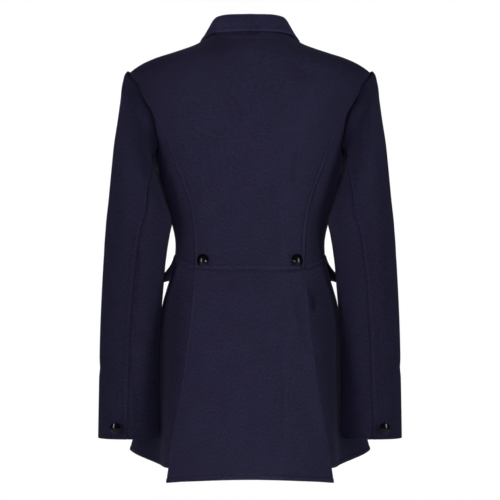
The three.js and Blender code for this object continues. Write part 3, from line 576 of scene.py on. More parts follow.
def new_object(name, points, faces, materials, face_material=None, uv=None, rides=True):
    """An object made from points and arrays of faces, riding on the coat's body unless told not to."""
    mesh = bpy.data.meshes.new(name)
    corners = np.concatenate([np.asarray(f, np.int32).ravel() for f in faces])
    sizes = np.concatenate([np.full(len(f), f.shape[1], np.int32) for f in faces])
    mesh.vertices.add(len(points))
    mesh.vertices.foreach_set("co", np.asarray(points, np.float32).ravel())
    mesh.loops.add(len(corners))
    mesh.loops.foreach_set("vertex_index", corners)
    mesh.polygons.add(len(sizes))
    mesh.polygons.foreach_set("loop_start", np.concatenate([[0], np.cumsum(sizes)[:-1]]).astype(np.int32))
    mesh.polygons.foreach_set("use_smooth", np.ones(len(sizes), bool))
    if face_material is not None:
        mesh.polygons.foreach_set("material_index", np.asarray(face_material, np.int32))
    for material in materials:
        mesh.materials.append(material)
    if uv is not None:
        layer = mesh.uv_layers.new(name="cloth")
        layer.data.foreach_set("uv", np.asarray(uv, np.float32)[corners].ravel())
    mesh.update(calc_edges=True)
    mesh.validate()
    made = bpy.data.objects.new(name, mesh)
    bpy.context.scene.collection.objects.link(made)
    if rides:
        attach(made, "root")
    return made


def cloth_mesh(name, laid, thickness, edges, tucks, materials, facing_width):
    """A closed wall of cloth: the laid outer face, an inner face and turned edges between them.
    edges gives the turning radius at the low, high, left and right sides, and a facing of wool runs
    round the open ones.
    tucks says how far a seam edge runs on under its neighbour."""
    sides = {"low": laid.low, "high": laid.high, "left": laid.left, "right": laid.right}
    drop = np.zeros(laid.low.shape)
    p = laid.p.copy()
    for side, distance in sides.items():
        radius = edges[side]
        depth = min(radius, thickness / 2 - EDGE_SPARE)
        drop = np.maximum(drop, rounded(distance, radius, depth))
        if radius <= SEAM:
            tuck = tucks.get(side, SEAM_REACH)
            p += laid.outwards(side) * (tuck * np.clip(1 - distance / SEAM_FADE, 0, 1))[..., None]
    outer = p - laid.n * drop[..., None]
    inner = p - laid.n * (thickness - drop)[..., None]
    rows, columns = outer.shape[:2]
    number = np.arange(rows * columns).reshape(rows, columns)
    low, right, high, left = number[0], number[:, -1], number[-1, ::-1], number[::-1, 0]
    loop = np.concatenate([low[:-1], right[:-1], high[:-1], left[:-1]])
    quads = np.stack([number[:-1, :-1], number[:-1, 1:], number[1:, 1:], number[1:, :-1]], -1).reshape(-1, 4)
    back = quads[:, ::-1] + rows * columns
    rim = np.stack([loop, loop + rows * columns, np.roll(loop, -1) + rows * columns, np.roll(loop, -1)], -1)
    if laid.sign < 0:
        quads, back, rim = quads[:, ::-1], back[:, ::-1], rim[:, ::-1]
    points = np.concatenate([outer.reshape(-1, 3), inner.reshape(-1, 3)])
    uv = np.tile(np.stack([laid.u, laid.v], -1).reshape(-1, 2), (2, 1))
    open_sides = [distance for side, distance in sides.items() if edges[side] >= OPEN]
    open_edge = np.min(open_sides or [np.ones(drop.shape)], axis=0)
    lined = (open_edge[:-1, :-1] > facing_width).ravel()
    kinds = np.concatenate([np.zeros(len(quads)), lined, np.zeros(len(rim))])
    made = new_object(name, points, [quads, back, rim], materials, kinds, uv)
    # Painted light and shade, kept on each point of the outer face for the wool.
    rubbed = made.data.attributes.new("rubbed", "FLOAT", "POINT")
    tones = np.concatenate([laid.rubbed.ravel(), np.zeros(rows * columns)])
    rubbed.data.foreach_set("value", tones.astype(np.float32))
    round(float(laid.area()), 5)
    return made


STITCH_SIDES = 6
STITCH_FILL = (0.12, 0.88)  # the part of its pitch that a stitch fills
# Along a stitch, and how thick it is there as a share of its thread.
STITCH_PROFILE = [(-0.5, 0.35), (-0.36, 0.95), (0, 1.08), (0.36, 0.95), (0.5, 0.35)]
# How high it sits, how far its ends dip and how flat it lies, as shares of its thread.
STITCH_SEAT, STITCH_SINK, STITCH_FLAT = 0.28, 1.3, 0.8


def stitches(name, runs, sizes, material):
    """Rows of topstitches. Each run is a line of points with the normals of the cloth under it."""
    points, faces = [], []
    angles = np.arange(STITCH_SIDES) * math.pi / (STITCH_SIDES / 2)
    ring = np.array([[math.cos(a), math.sin(a)] for a in angles])
    for line, normals in runs:
        reach = np.concatenate([[0], np.cumsum(np.linalg.norm(np.diff(line, axis=0), axis=1))])
        count = int(reach[-1] / sizes.stitch_length)
        for k in range(count):
            ends = (k + np.array(STITCH_FILL)) / count * reach[-1]
            a, b = (np.array([np.interp(e, reach, line[:, x]) for x in range(3)]) for e in ends)
            n = np.array([np.interp(ends.mean(), reach, normals[:, x]) for x in range(3)])
            along_stitch = b - a
            side = np.cross(along_stitch, n)
            side /= np.linalg.norm(side) + TINY
            n = np.cross(side, along_stitch)
            n /= np.linalg.norm(n) + TINY
            base = len(points)
            for t, r in STITCH_PROFILE:
                seat = STITCH_SEAT - STITCH_SINK * t * t
                centre = (a + b) / 2 + along_stitch * t + n * sizes.thread * seat
                points.extend(
                    centre + (side * c + n * s * STITCH_FLAT) * r * sizes.thread / 2 for c, s in ring)
            for start in range(base, len(points) - STITCH_SIDES, STITCH_SIDES):
                for i in range(STITCH_SIDES):
                    first, second = start + i, start + (i + 1) % STITCH_SIDES
                    faces.append((first, second, second + STITCH_SIDES, first + STITCH_SIDES))
    if not faces:
        return None
    return new_object(name, np.array(points), [np.array(faces)], [material])


# ---- Materials -----------------------------------------------------------------------------------------


class Nodes:
    """Short calls for building the nodes of a material or a world."""

    def __init__(self, owner):
        self.owner = owner
        owner.use_nodes = True
        self.tree = owner.node_tree
        self.shader = next(n for n in self.tree.nodes if n.type in ("BSDF_PRINCIPLED", "BACKGROUND"))
        self.output = next(n for n in self.tree.nodes if n.type.startswith("OUTPUT"))

    def add(self, kind, **settings):
        node = self.tree.nodes.new(kind)
        for key, value in settings.items():
            setattr(node, key, value)
        return node

    def link(self, a, b):
        self.tree.links.new(a, b)

    def noise(self, vector, scale, detail=2.0, roughness=0.5):
        node = self.add("ShaderNodeTexNoise")
        node.inputs["Scale"].default_value = scale
        node.inputs["Detail"].default_value = detail
        node.inputs["Roughness"].default_value = roughness
        self.link(vector, node.inputs["Vector"])
        return node.outputs["Fac"]

    def maths(self, operation, a, b=0.0, c=0.0):
        node = self.add("ShaderNodeMath", operation=operation)
        for socket, value in zip(node.inputs, (a, b, c)):
            if isinstance(value, (int, float)):
                socket.default_value = value
            else:
                self.link(value, socket)
        return node.outputs[0]

    def stretched(self, x, y):
        """Cloth coordinates in metres, divided by a width and a height."""
        coordinates = self.add("ShaderNodeUVMap", uv_map="cloth").outputs["UV"]
        mapping = self.add("ShaderNodeMapping")
        mapping.inputs["Scale"].default_value = (1 / x, 1 / y, 1)
        self.link(coordinates, mapping.inputs["Vector"])
        return mapping.outputs["Vector"]

    def ramp(self, factor, stops):
        node = self.add("ShaderNodeValToRGB")
        elements = node.color_ramp.elements
        while len(elements) < len(stops):
            elements.new(0.5)
        for element, (position, colour) in zip(elements, stops):
            element.position = position
            element.color = (*colour, 1)
        self.link(factor, node.inputs["Fac"])
        return node.outputs["Color"]

    def bump(self, height, strength, distance, below=None):
        node = self.add("ShaderNodeBump")
        node.inputs["Strength"].default_value = strength
        node.inputs["Distance"].default_value = distance
        self.link(height, node.inputs["Height"])
        if below is not None:
            self.link(below, node.inputs["Normal"])
        return node.outputs["Normal"]


def shades(colour, spread):
    """A darker and a lighter shade of a colour, either side of it."""
    return [tuple(c * (1 + side * spread) for c in colour) for side in (-1, 1)]


PAINTED_LIGHT_GAIN = 0.55  # how much lighter the painted light makes wool where the painted tone is 1


def wool_material(colours):
    """Milled wool: short upright flecks of yarn under a nap, uneven in colour from place to place."""
    w = Nodes(bpy.data.materials.new("navy_wool"))
    fleck = w.noise(w.stretched(2.1 * MM, 3.8 * MM), 1.0, detail=1.0, roughness=0.55)
    yarn = w.noise(w.stretched(0.55 * MM, 0.9 * MM), 1.0, detail=2.0, roughness=0.6)
    nap = w.noise(w.stretched(1, 1), 1 / (0.9 * MM), detail=3.0, roughness=0.65)
    patch = w.noise(w.stretched(1, 1), 1 / (38 * MM), detail=2.0, roughness=0.5)
    tone = w.maths("MULTIPLY_ADD", fleck, 0.72, w.maths("MULTIPLY", yarn, 0.28))
    tone = w.maths("MULTIPLY_ADD", patch, 0.16, w.maths("SUBTRACT", tone, 0.08))
    dark, light = shades(colours.wool, colours.fleck)
    # Painted light and shade from the mesh scale the base colour.
    rubbed = w.add("ShaderNodeAttribute", attribute_name="rubbed").outputs["Fac"]
    shade = w.add("ShaderNodeVectorMath", operation="SCALE")
    w.link(w.ramp(tone, [(0.28, dark), (0.72, light)]), shade.inputs[0])
    w.link(w.maths("MULTIPLY_ADD", rubbed, PAINTED_LIGHT_GAIN, 1.0), shade.inputs["Scale"])
    w.link(shade.outputs[0], w.shader.inputs["Base Color"])
    w.link(w.maths("MULTIPLY_ADD", nap, 0.16, 0.80), w.shader.inputs["Roughness"])
    w.shader.inputs["Specular IOR Level"].default_value = 0.12
    w.shader.inputs["Sheen Weight"].default_value = 0.05
    w.shader.inputs["Sheen Roughness"].default_value = 0.5
    w.shader.inputs["Sheen Tint"].default_value = (0.52, 0.50, 0.90, 1)
    normal = w.bump(yarn, 0.45, 0.30 * MM)
    normal = w.bump(fleck, 0.40, 0.55 * MM, normal)
    normal = w.bump(nap, 0.40, 0.35 * MM, normal)
    w.link(normal, w.shader.inputs["Normal"])
    return w.owner


def lining_material(colours):
    """Satin lining with fine ribs and a soft shine."""
    w = Nodes(bpy.data.materials.new("satin_lining"))
    ribs = w.noise(w.stretched(0.35 * MM, 6 * MM), 1.0, detail=2.0, roughness=0.5)
    drift = w.noise(w.stretched(1, 1), 1 / (24 * MM), detail=2.0, roughness=0.5)
    tone = w.maths("MULTIPLY_ADD", ribs, 0.4, w.maths("MULTIPLY", drift, 0.6))
    dark, light = shades(colours.lining, 0.3)
    w.link(w.ramp(tone, [(0.25, dark), (0.75, light)]), w.shader.inputs["Base Color"])
    w.link(w.maths("MULTIPLY_ADD", drift, 0.12, 0.38), w.shader.inputs["Roughness"])
    w.shader.inputs["Specular IOR Level"].default_value = 0.3
    normal = w.bump(ribs, 0.25, 0.12 * MM)
    w.link(w.bump(drift, 0.5, 1.5 * MM, normal), w.shader.inputs["Normal"])
    return w.owner


def thread_material(colours):
    """Twisted polyester topstitching thread."""
    w = Nodes(bpy.data.materials.new("topstitch_thread"))
    place = w.add("ShaderNodeTexCoord").outputs["Object"]
    twist = w.noise(place, 1 / (0.35 * MM), detail=1.0, roughness=0.5)
    dark, light = shades(colours.thread, 0.3)
    w.link(w.ramp(twist, [(0.3, dark), (0.7, light)]), w.shader.inputs["Base Color"])
    w.link(w.maths("MULTIPLY_ADD", twist, 0.2, 0.6), w.shader.inputs["Roughness"])
    w.shader.inputs["Specular IOR Level"].default_value = 0.2
    w.link(w.bump(twist, 0.4, 0.08 * MM), w.shader.inputs["Normal"])
    return w.owner


def button_material(colours):
    """Near-black navy resin, polished, with faint clouding and fine scuffs."""
    w = Nodes(bpy.data.materials.new("polished_resin"))
    place = w.add("ShaderNodeTexCoord").outputs["Object"]
    cloud = w.noise(place, 1 / (3 * MM), detail=3.0, roughness=0.6)
    scuff = w.noise(place, 1 / (0.7 * MM), detail=2.0, roughness=0.6)
    dark, light = shades(colours.button, 0.4)
    w.link(w.ramp(cloud, [(0.35, dark), (0.75, light)]), w.shader.inputs["Base Color"])
    w.link(w.maths("MULTIPLY_ADD", scuff, 0.1, 0.06), w.shader.inputs["Roughness"])
    w.shader.inputs["Specular IOR Level"].default_value = 0.36
    w.link(w.bump(cloud, 0.2, 0.12 * MM), w.shader.inputs["Normal"])
    return w.owner


MATERIALS = {
    "wool": wool_material, "lining": lining_material, "thread": thread_material, "button": button_material}


def finish_of(kind):
    """The material of this kind, made once."""
    found = next((m for m in bpy.data.materials if m.get("finish") == kind), None)
    if found is None:
        found = MATERIALS[kind](bpy.context.scene.frock_coat.colours)
        found["finish"] = kind
    return found


# ---- Pieces --------------------------------------------------------------------------------------------

PLEAT_RETURN = 28 * MM  # cloth turned under at the fold of each pleat
# How far each fold stands proud, over what width, and how far below the waist it comes up.
PLEAT_SPRING, PLEAT_SOFTNESS, PLEAT_FADE = 6 * MM, 20 * MM, 60 * MM
PLEAT_TONE, PLEAT_HIGHLIGHT_WIDTH = 0.9, 4 * MM  # painted highlight along the fold, over this width
FLAP_SPRING, FLAP_SOFTNESS = 3.2 * MM, 16 * MM  # how far a flap's tip lifts, and over what height
COLLAR_TONE = 0.5  # painted light added all over the collar
COLLAR_ENDS = 45 * MM  # its stitches turn up its ends by this much
ALL_WOOL = 1.0  # a facing wider than any piece

# The ruling rows where the welts of the back end, where its neck starts and where the lapel starts
# to roll, each with the number of rows over which it does so.
WELTS_END, NECK, ROLL = (16, 1.5), (23, 0.7), (11.6, 0.6)
SHOULDER_ROW, ROLL_ROW = 17, 12  # where the stitches of the back and of the front edge end
NECK_FADE = 30 * MM  # the neck's welt dies away towards the shoulders
NECK_RISE = 0.4  # as a share of the other welts
# The hindarm seam is pressed flatter than the others: its rise, its welt and its dip, as shares.
HINDARM_RISE, HINDARM_WELT, HINDARM_DIP = 0.7, 0.6, 0.7

# Places where a side of a ruled face turns a corner: the side and the ruling row.
BREAKS = {
    "back_panel": [(side, row) for side in ("left", "right") for row in (12, 18)],
    "front_left": [("left", 6), ("left", 20), ("right", 12)],
    "front_right": [("left", 6), ("left", 20), ("right", 12)],
}


def lay(node, low, high, left, right, pitch=None, column_breaks=()):
    """A fine grid over the outer face of a solid, with these mesh lines along its four sides."""
    sizes = bpy.context.scene.frock_coat.cloth
    face, sign = outer_face(node)
    surface = Surface(face, BREAKS.get(node, ()), column_breaks)
    return Laid(surface, sign, pitch or sizes.mesh_pitch, low, high, left, right)


def finish_cloth(node, laid, edges, runs=(), facing_width=45 * MM, thickness=None, tucks=None):
    """Makes the piece and its stitching, and has it stand for its solid."""
    sizes = bpy.context.scene.frock_coat.cloth
    made = cloth_mesh(
        f"{node}_wool", laid, thickness or sizes.thickness, edges, tucks or {},
        [finish_of("wool"), finish_of("lining")], facing_width)
    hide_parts(node)
    if runs:
        sewn = stitches(f"{node}_stitching", runs, sizes, finish_of("thread"))
        if sewn:
            sewn.parent = made
            sewn.matrix_parent_inverse = made.matrix_world.inverted()
    return made


def column_run(laid, distance, side, first=0.0, last=math.inf):
    """A line of stitches at a distance from the left or right side, between two heights of the piece."""
    field = laid.left if side == "left" else laid.right
    i = int(np.abs(field - distance).mean(0).argmin())
    keep = (laid.v[:, i] >= first) & (laid.v[:, i] <= last)
    return laid.p[keep, i], laid.n[keep, i]


def row_run(laid, distance, side, first=0.0, last=math.inf):
    """A line of stitches at a distance from the low or high side, between two places across the piece."""
    field = laid.low if side == "low" else laid.high
    j = int(np.abs(field - distance).mean(1).argmin())
    keep = (laid.u[j] >= first) & (laid.u[j] <= last)
    return laid.p[j, keep], laid.n[j, keep]


def from_row(laid, row, span):
    """0 up to a ruling row and 1 from a span of rows above it."""
    return ease((laid.row_at - row) / span)


def height_of(laid, row, side):
    """How far up the piece the mesh line nearest to a ruling row lies, on its left (0) or right (-1)."""
    return float(laid.v[np.abs(laid.row_at[:, side] - row).argmin(), side])


def all_edges(radius, **others):
    """The turning radius of each side, the same all round but for the others."""
    edges = {"low": radius, "high": radius, "left": radius, "right": radius}
    edges.update(others)
    return edges


class FROCKCOAT_OT_bodice(bpy.types.Operator):
    """Back, side backs and fronts, with welted princess and waist seams"""

    bl_idname = "frock_coat.bodice"
    bl_label = "Bodice"

    def execute(self, context):
        sizes = context.scene.frock_coat.cloth
        width, rise = sizes.welt_width, sizes.welt_rise
        back = lay("back_panel", WELT_LINES, WELT_LINES, WELT_LINES, WELT_LINES)
        below_shoulder = 1 - from_row(back, *WELTS_END)
        inside = np.minimum(back.left, back.right)
        neck = from_row(back, *NECK) * ease(inside / NECK_FADE)
        back.shaded(HOLLOW_TONES)
        back.lift(fold_height(back.p, back.n, BODY_FOLDS))
        for side in ("left", "right"):
            back.welted(side, width, rise, below_shoulder)
            back.pinched(side, shown=below_shoulder)
        back.welted("low", width, rise, ease(inside / width))
        back.pinched("low")
        back.welted("high", width, NECK_RISE * rise, neck)
        shoulder = height_of(back, SHOULDER_ROW, 0)
        finish_cloth("back_panel", back, all_edges(SEAM), [
            column_run(back, width, "left", width, shoulder),
            column_run(back, width, "right", width, shoulder),
            row_run(back, width, "low", width, float(back.u[0, -1]) - width),
        ])
        for hand in ("left", "right"):
            side = lay(f"side_back_{hand}", WELT_LINES, SEAM_LINES, SEAM_LINES, SEAM_LINES)
            side.shaded(HOLLOW_TONES)
            side.lift(fold_height(side.p, side.n, BODY_FOLDS))
            side.welted("low", width, rise)
            side.pinched("low")
            side.pinched("left", depth=1.3 * MM, width=2 * MM)
            side.pinched("right", depth=0.8 * MM)
            side.pinched("high", depth=0.8 * MM, width=4 * MM)
            finish_cloth(f"side_back_{hand}", side, all_edges(SEAM), [row_run(side, width, "low")],
                         tucks={"left": 1.2 * MM})
        for hand in ("left", "right"):
            front = lay(f"front_{hand}", WELT_LINES, SEAM_LINES, SEAM_LINES, EDGE_LINES)
            front.lift(fold_height(front.p, front.n, BODY_FOLDS))
            front.welted("low", width, rise)
            front.pinched("low")
            front.pinched("left", depth=0.8 * MM)
            front.edge_stitched("right", 1 - from_row(front, *ROLL))
            roll = height_of(front, ROLL_ROW, -1)
            finish_cloth(f"front_{hand}", front, all_edges(SEAM, right=OPEN), [
                row_run(front, width, "low"),
                column_run(front, STITCHED, "right", 4 * MM, roll),
            ], facing_width=70 * MM)
        return {"FINISHED"}


class FROCKCOAT_OT_collar(bpy.types.Operator):
    """Collar and lapels, topstitched round their edges"""

    bl_idname = "frock_coat.collar"
    bl_label = "Collar and lapels"

    def execute(self, context):
        collar = lay("collar", EDGE_LINES, SEAM_LINES, EDGE_LINES, EDGE_LINES, pitch=(1.6 * MM, 3 * MM))
        # Painted light: the whole collar is laid lighter.
        collar.rubbed += COLLAR_TONE
        for side in ("low", "left", "right"):
            collar.edge_stitched(side)
        ends = float(collar.u[0, -1])
        finish_cloth("collar", collar, all_edges(1.3 * MM, high=SEAM), [
            row_run(collar, STITCHED, "low", STITCHED, ends - STITCHED),
            column_run(collar, STITCHED, "left", STITCHED, COLLAR_ENDS),
            column_run(collar, STITCHED, "right", STITCHED, COLLAR_ENDS),
        ], facing_width=ALL_WOOL, thickness=2.7 * MM, tucks={"high": 2.2 * MM})
        for hand in ("left", "right"):
            lapel = lay(
                f"lapel_{hand}", EDGE_LINES, EDGE_LINES, EDGE_LINES, EDGE_LINES, column_breaks=[("high", 3)])
            for side in ("left", "high"):
                lapel.edge_stitched(side)
            finish_cloth(f"lapel_{hand}", lapel, all_edges(OPEN), [
                column_run(lapel, STITCHED, "left"),
                row_run(lapel, STITCHED, "high", STITCHED),
            ], facing_width=ALL_WOOL)
        return {"FINISHED"}


class FROCKCOAT_OT_sleeves(bpy.types.Operator):
    """Two-piece sleeves with a welted hindarm seam"""

    bl_idname = "frock_coat.sleeves"
    bl_label = "Sleeves"

    def execute(self, context):
        sizes = context.scene.frock_coat.cloth
        width, rise = sizes.welt_width, sizes.welt_rise
        for hand, side in (("left", 1), ("right", -1)):
            top = lay(f"top_sleeve_{hand}", SEAM_LINES, EDGE_LINES, SEAM_LINES, WELT_LINES)
            top.shaded(SLEEVE_TONES)
            top.lift(fold_height(top.p, top.n, SLEEVE_FOLDS, side))
            top.welted("right", width, HINDARM_RISE * rise, HINDARM_WELT)
            top.pinched("right", shown=HINDARM_DIP)
            top.pinched("left", depth=0.8 * MM)
            behind = ease((top.n @ np.array(BACK) - 0.35) / 0.5)
            top.pinched("low", depth=1.8 * MM, width=3 * MM, shown=0.45 * behind)
            finish_cloth(
                f"top_sleeve_{hand}", top, all_edges(SEAM, high=OPEN),
                [column_run(top, width, "right")], tucks={"low": 4 * MM})
            under = lay(f"under_sleeve_{hand}", SEAM_LINES, EDGE_LINES, SEAM_LINES, SEAM_LINES)
            under.shaded(SLEEVE_TONES)
            under.lift(fold_height(under.p, under.n, SLEEVE_FOLDS, side))
            under.pinched("left", depth=1.0 * MM, width=2 * MM)
            under.pinched("right", depth=1.0 * MM, width=2 * MM)
            under.pinched("low", depth=1.2 * MM, width=3.5 * MM, shown=0.6)
            finish_cloth(f"under_sleeve_{hand}", under, all_edges(SEAM, high=OPEN), tucks={"low": 2.6 * MM})
        return {"FINISHED"}


class FROCKCOAT_OT_skirts(bpy.types.Operator):
    """Back skirt with its pressed pleats, and the two side and front skirts"""

    bl_idname = "frock_coat.skirts"
    bl_label = "Skirts"

    def execute(self, context):
        back = lay("skirt_back", EDGE_LINES, SEAM_LINES, PLEAT_LINES, PLEAT_LINES)
        back.lift(fold_height(back.p, back.n, BODY_FOLDS))
        back.edge_stitched("low")
        back.pinched("high")
        below_waist = ease(back.high / PLEAT_FADE)
        for distance in (back.left, back.right):
            from_fold = np.abs(distance - PLEAT_RETURN)
            back.p[..., 1] += PLEAT_SPRING * np.exp(-((from_fold / PLEAT_SOFTNESS) ** 2)) * below_waist
            # Painted highlight along each pleat's fold.
            back.rubbed += PLEAT_TONE * np.exp(-((from_fold / PLEAT_HIGHLIGHT_WIDTH) ** 2)) * below_waist
        finish_cloth("skirt_back", back, all_edges(OPEN, high=SEAM), [row_run(back, STITCHED, "low")])
        for hand in ("left", "right"):
            side = lay(f"skirt_{hand}", EDGE_LINES, SEAM_LINES, EDGE_LINES, EDGE_LINES)
            side.shaded(SIDE_SKIRT_TONES)
            side.lift(fold_height(side.p, side.n, BODY_FOLDS))
            for mirror in (1, -1):
                side.lift(fold_height(side.p, side.n, HIP_FOLDS, mirror))
            side.edge_stitched("right")
            side.edge_stitched("low")
            side.pinched("high")
            finish_cloth(f"skirt_{hand}", side, all_edges(OPEN, high=SEAM), [
                column_run(side, STITCHED, "right", STITCHED),
                row_run(side, STITCHED, "low"),
            ], facing_width=55 * MM)
        return {"FINISHED"}


class FROCKCOAT_OT_flaps(bpy.types.Operator):
    """Pocket flaps set in the waist seam"""

    bl_idname = "frock_coat.flaps"
    bl_label = "Pocket flaps"

    def execute(self, context):
        for hand in ("left", "right"):
            flap = lay(f"pocket_flap_{hand}", EDGE_LINES, SEAM_LINES, EDGE_LINES, EDGE_LINES)
            flap.lift(FLAP_SPRING * np.exp(-((flap.low / FLAP_SOFTNESS) ** 2)))
            for side in ("left", "right", "low"):
                flap.edge_stitched(side)
            across = float(flap.u[0, -1])
            finish_cloth(f"pocket_flap_{hand}", flap, all_edges(1.5 * MM), [
                row_run(flap, STITCHED, "low", STITCHED, across - STITCHED),
                column_run(flap, STITCHED, "left", STITCHED),
                column_run(flap, STITCHED, "right", STITCHED),
            ], facing_width=ALL_WOOL, thickness=3.4 * MM)
        return {"FINISHED"}


BUTTONS = [
    "back_button_left", "back_button_right", "cuff_button_left", "cuff_button_right",
    "front_button_1", "front_button_2", "front_button_3", "front_button_4",
]
# Added to a cuff button's axis. It turns the button up by 26 degrees about its foot, which lifts
# its lower edge off the sleeve.
CUFF_TILT = np.array((0, 0, 0.45))

# A button's heights as shares of its solid's: the shank, the edge of the dome, its rise and its top.
SHANK_TOP, DOME_EDGE, DOME_RISE, DOME_TOP = 0.32, 0.5, 0.58, 1.085
DOME_BOW = math.radians(28)  # half of the arc that the dome spans
DOME_STEPS, BUTTON_SEGMENTS = 10, 40


def button_outline():
    """Half of a button cut down its axis, as shares of its radius and height: shank, rim and dome."""
    under = SHANK_TOP
    outline = [(0.30, 0.0), (0.32, 0.04), (0.30, 0.5 * under), (0.33, under), (0.84, under)]
    outline += [(0.95, under + 0.03), (1.0, under + 0.1), (0.995, under + 0.17)]
    edge = math.cos(DOME_BOW)
    for t in np.linspace(DOME_BOW, 0.1, DOME_STEPS):
        across = 0.99 * math.sin(t) / math.sin(DOME_BOW)
        outline.append((across, DOME_EDGE + DOME_RISE * (math.cos(t) - edge) / (1 - edge)))
    return outline


def button_place(node):
    """The foot, axis, radius and height of a button's solid."""
    points, _ = welded(node)
    centre = points.mean(0)
    axis = np.linalg.svd(points - centre)[2][-1]
    reach = (points - centre) @ axis
    radial = np.linalg.norm(points - centre - reach[:, None] * axis, axis=1)
    if axis[:2] @ centre[:2] < 0:
        axis, reach = -axis, -reach
    return centre + axis * reach.min(), axis, radial.max(), reach.max() - reach.min()


class FROCKCOAT_OT_buttons(bpy.types.Operator):
    """Domed resin buttons on shanks, at the back waist, cuffs and front"""

    bl_idname = "frock_coat.buttons"
    bl_label = "Buttons"

    def execute(self, context):
        for node in BUTTONS:
            foot, axis, radius, height = button_place(node)
            if node.startswith("cuff"):
                axis = axis + CUFF_TILT
            segments = BUTTON_SEGMENTS
            turn = np.arange(segments) * 2 * math.pi / segments
            rings = [[(r * radius * math.cos(a), r * radius * math.sin(a), h * height) for a in turn]
                     for r, h in button_outline()]
            points = [p for ring in rings for p in ring] + [(0, 0, 0), (0, 0, DOME_TOP * height)]
            quads, fans = [], []
            for j in range(len(rings) - 1):
                for i in range(segments):
                    a, b = j * segments + i, j * segments + (i + 1) % segments
                    quads.append((a, b, b + segments, a + segments))
            last, base, apex = (len(rings) - 1) * segments, len(points) - 2, len(points) - 1
            for i in range(segments):
                fans.append((base, (i + 1) % segments, i))
                fans.append((last + i, last + (i + 1) % segments, apex))
            turned = Vector((0, 0, 1)).rotation_difference(Vector(axis)).to_matrix()
            points = np.array(points) @ np.array(turned).T + foot
            made = new_object(
                f"{node}_resin", points, [np.array(quads), np.array(fans)],
                [finish_of("button")])
            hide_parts(node)
        return {"FINISHED"}


FLOOR_SIDES = 48
FLOOR_FADE = 0.45  # the share of the floor's radius where it starts to fade
SOFTBOX_REACH, SOFTBOX_HEIGHT = 2.7, -0.2  # from the middle of the coat, and from its shoulders
SOFTBOX_SIZE, SOFTBOX_AIM = (0.6, 1.9), (0, 0, -0.36)
STRIP_PLACE, STRIP_SIZE, STRIP_AIM = (0, 3.5, -0.25), (0.36, 1.2), (0, 0, -0.25)
CAMERA_HEIGHT = -0.355
SENSOR_WIDTH = 36.0


def floor_material(radius):
    """Pale paper that fades out towards its edge."""
    w = Nodes(bpy.data.materials.new("pale_floor"))
    place = w.add("ShaderNodeTexCoord").outputs["Object"]
    shade = w.noise(place, 3.0, detail=3.0, roughness=0.5)
    pale, paler = (0.84, 0.84, 0.84), (0.87, 0.87, 0.87)
    w.link(w.ramp(shade, [(0.3, pale), (0.7, paler)]), w.shader.inputs["Base Color"])
    w.shader.inputs["Roughness"].default_value = 0.9
    far = w.add("ShaderNodeVectorMath", operation="LENGTH")
    w.link(place, far.inputs[0])
    fade = w.add("ShaderNodeMapRange", interpolation_type="SMOOTHSTEP")
    span = (("From Min", FLOOR_FADE * radius), ("From Max", radius), ("To Min", 1.0), ("To Max", 0.0))
    for name, value in span:
        fade.inputs[name].default_value = value
    w.link(far.outputs["Value"], fade.inputs["Value"])
    w.link(fade.outputs["Result"], w.shader.inputs["Alpha"])
    return w.owner


def sky(studio):
    """White to the camera, and a weak even light to everything else."""
    w = Nodes(bpy.data.worlds.new("studio"))
    w.shader.inputs["Color"].default_value = (1, 1, 1, 1)
    w.shader.inputs["Strength"].default_value = studio.fill
    paper = w.add("ShaderNodeBackground")
    paper.inputs["Color"].default_value = (1, 1, 1, 1)
    mix = w.add("ShaderNodeMixShader")
    w.link(w.add("ShaderNodeLightPath").outputs["Is Camera Ray"], mix.inputs[0])
    w.link(w.shader.outputs[0], mix.inputs[1])
    w.link(paper.outputs[0], mix.inputs[2])
    w.link(mix.outputs[0], w.output.inputs[0])
    return w.owner


def lamp(name, place, aim, size, power, spread=math.pi):
    """A rectangular lamp, open all round unless a grid narrows its spread."""
    light = bpy.data.lights.new(name, "AREA")
    light.shape, light.size, light.size_y = "RECTANGLE", *size
    light.energy, light.spread = power, spread
    made = bpy.data.objects.new(name, light)
    made.location = place
    made.rotation_euler = (Vector(aim) - Vector(place)).to_track_quat("-Z", "Y").to_euler()
    bpy.context.scene.collection.objects.link(made)


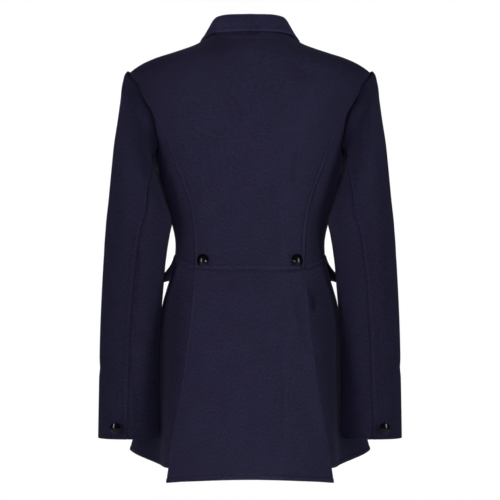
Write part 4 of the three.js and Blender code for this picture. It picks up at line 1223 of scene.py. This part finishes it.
class FROCKCOAT_OT_studio(bpy.types.Operator):
    """Pale floor, soft light and the camera"""

    bl_idname = "frock_coat.studio"
    bl_label = "Studio"

    def execute(self, context):
        studio = context.scene.frock_coat.studio
        turn = np.arange(FLOOR_SIDES) * 2 * math.pi / FLOOR_SIDES
        rim = np.stack([np.cos(turn), np.sin(turn), 0 * turn], -1) * studio.floor_radius
        fan = np.array([(FLOOR_SIDES, k, (k + 1) % FLOOR_SIDES) for k in range(FLOOR_SIDES)])
        floor = new_object(
            "floor", np.concatenate([rim, [(0, 0, 0)]]), [fan],
            [floor_material(studio.floor_radius)], rides=False)
        floor.location = (0, 0, -studio.floor_drop)
        context.scene.world = sky(studio)

        softboxes = (
            ("side_left", studio.side_angle, studio.side_power),
            ("side_right", -studio.side_angle, studio.side_power),
            ("front", math.pi, studio.front_power),
        )
        for name, turn, power in softboxes:
            place = (SOFTBOX_REACH * math.sin(turn), SOFTBOX_REACH * math.cos(turn), SOFTBOX_HEIGHT)
            lamp(name, place, SOFTBOX_AIM, SOFTBOX_SIZE, power)
        lamp("strip", STRIP_PLACE, STRIP_AIM, STRIP_SIZE, studio.strip_power, studio.strip_spread)

        lens = bpy.data.cameras.new("camera")
        lens.sensor_width = SENSOR_WIDTH
        lens.lens = SENSOR_WIDTH * studio.camera_distance / studio.view_width
        camera = bpy.data.objects.new("camera", lens)
        camera.location = (0, studio.camera_distance, CAMERA_HEIGHT)
        camera.rotation_euler = (math.pi / 2, 0, math.pi)
        context.scene.collection.objects.link(camera)
        context.scene.camera = camera
        context.scene.view_settings.view_transform = "Standard"
        return {"FINISHED"}


OPERATORS = (
    FROCKCOAT_OT_bodice, FROCKCOAT_OT_collar, FROCKCOAT_OT_sleeves, FROCKCOAT_OT_skirts,
    FROCKCOAT_OT_flaps, FROCKCOAT_OT_buttons, FROCKCOAT_OT_studio,
)


class FROCKCOAT_PT_panel(bpy.types.Panel):
    """The coat's pieces and settings"""

    bl_idname = "FROCKCOAT_PT_panel"
    bl_label = "Frock coat"
    bl_space_type = "VIEW_3D"
    bl_region_type = "UI"
    bl_category = "Frock coat"

    def draw(self, context):
        settings = context.scene.frock_coat
        for group in (settings.cloth, settings.colours, settings.studio):
            box = self.layout.box()
            for name in group.__annotations__:
                box.prop(group, name)
        for operator in OPERATORS:
            self.layout.operator(operator.bl_idname)


CLASSES = (ClothSizes, CoatColours, StudioSettings, CoatSettings, *OPERATORS, FROCKCOAT_PT_panel)


def register():
    for cls in CLASSES:
        bpy.utils.register_class(cls)
    bpy.types.Scene.frock_coat = PointerProperty(type=CoatSettings)


def unregister():
    del bpy.types.Scene.frock_coat
    for cls in reversed(CLASSES):
        bpy.utils.unregister_class(cls)


def main():
    register()
    bpy.ops.frock_coat.bodice()
    bpy.ops.frock_coat.collar()
    bpy.ops.frock_coat.sleeves()
    bpy.ops.frock_coat.skirts()
    bpy.ops.frock_coat.flaps()
    bpy.ops.frock_coat.buttons()
    bpy.ops.frock_coat.studio()


if __name__ == "__main__":
    main()
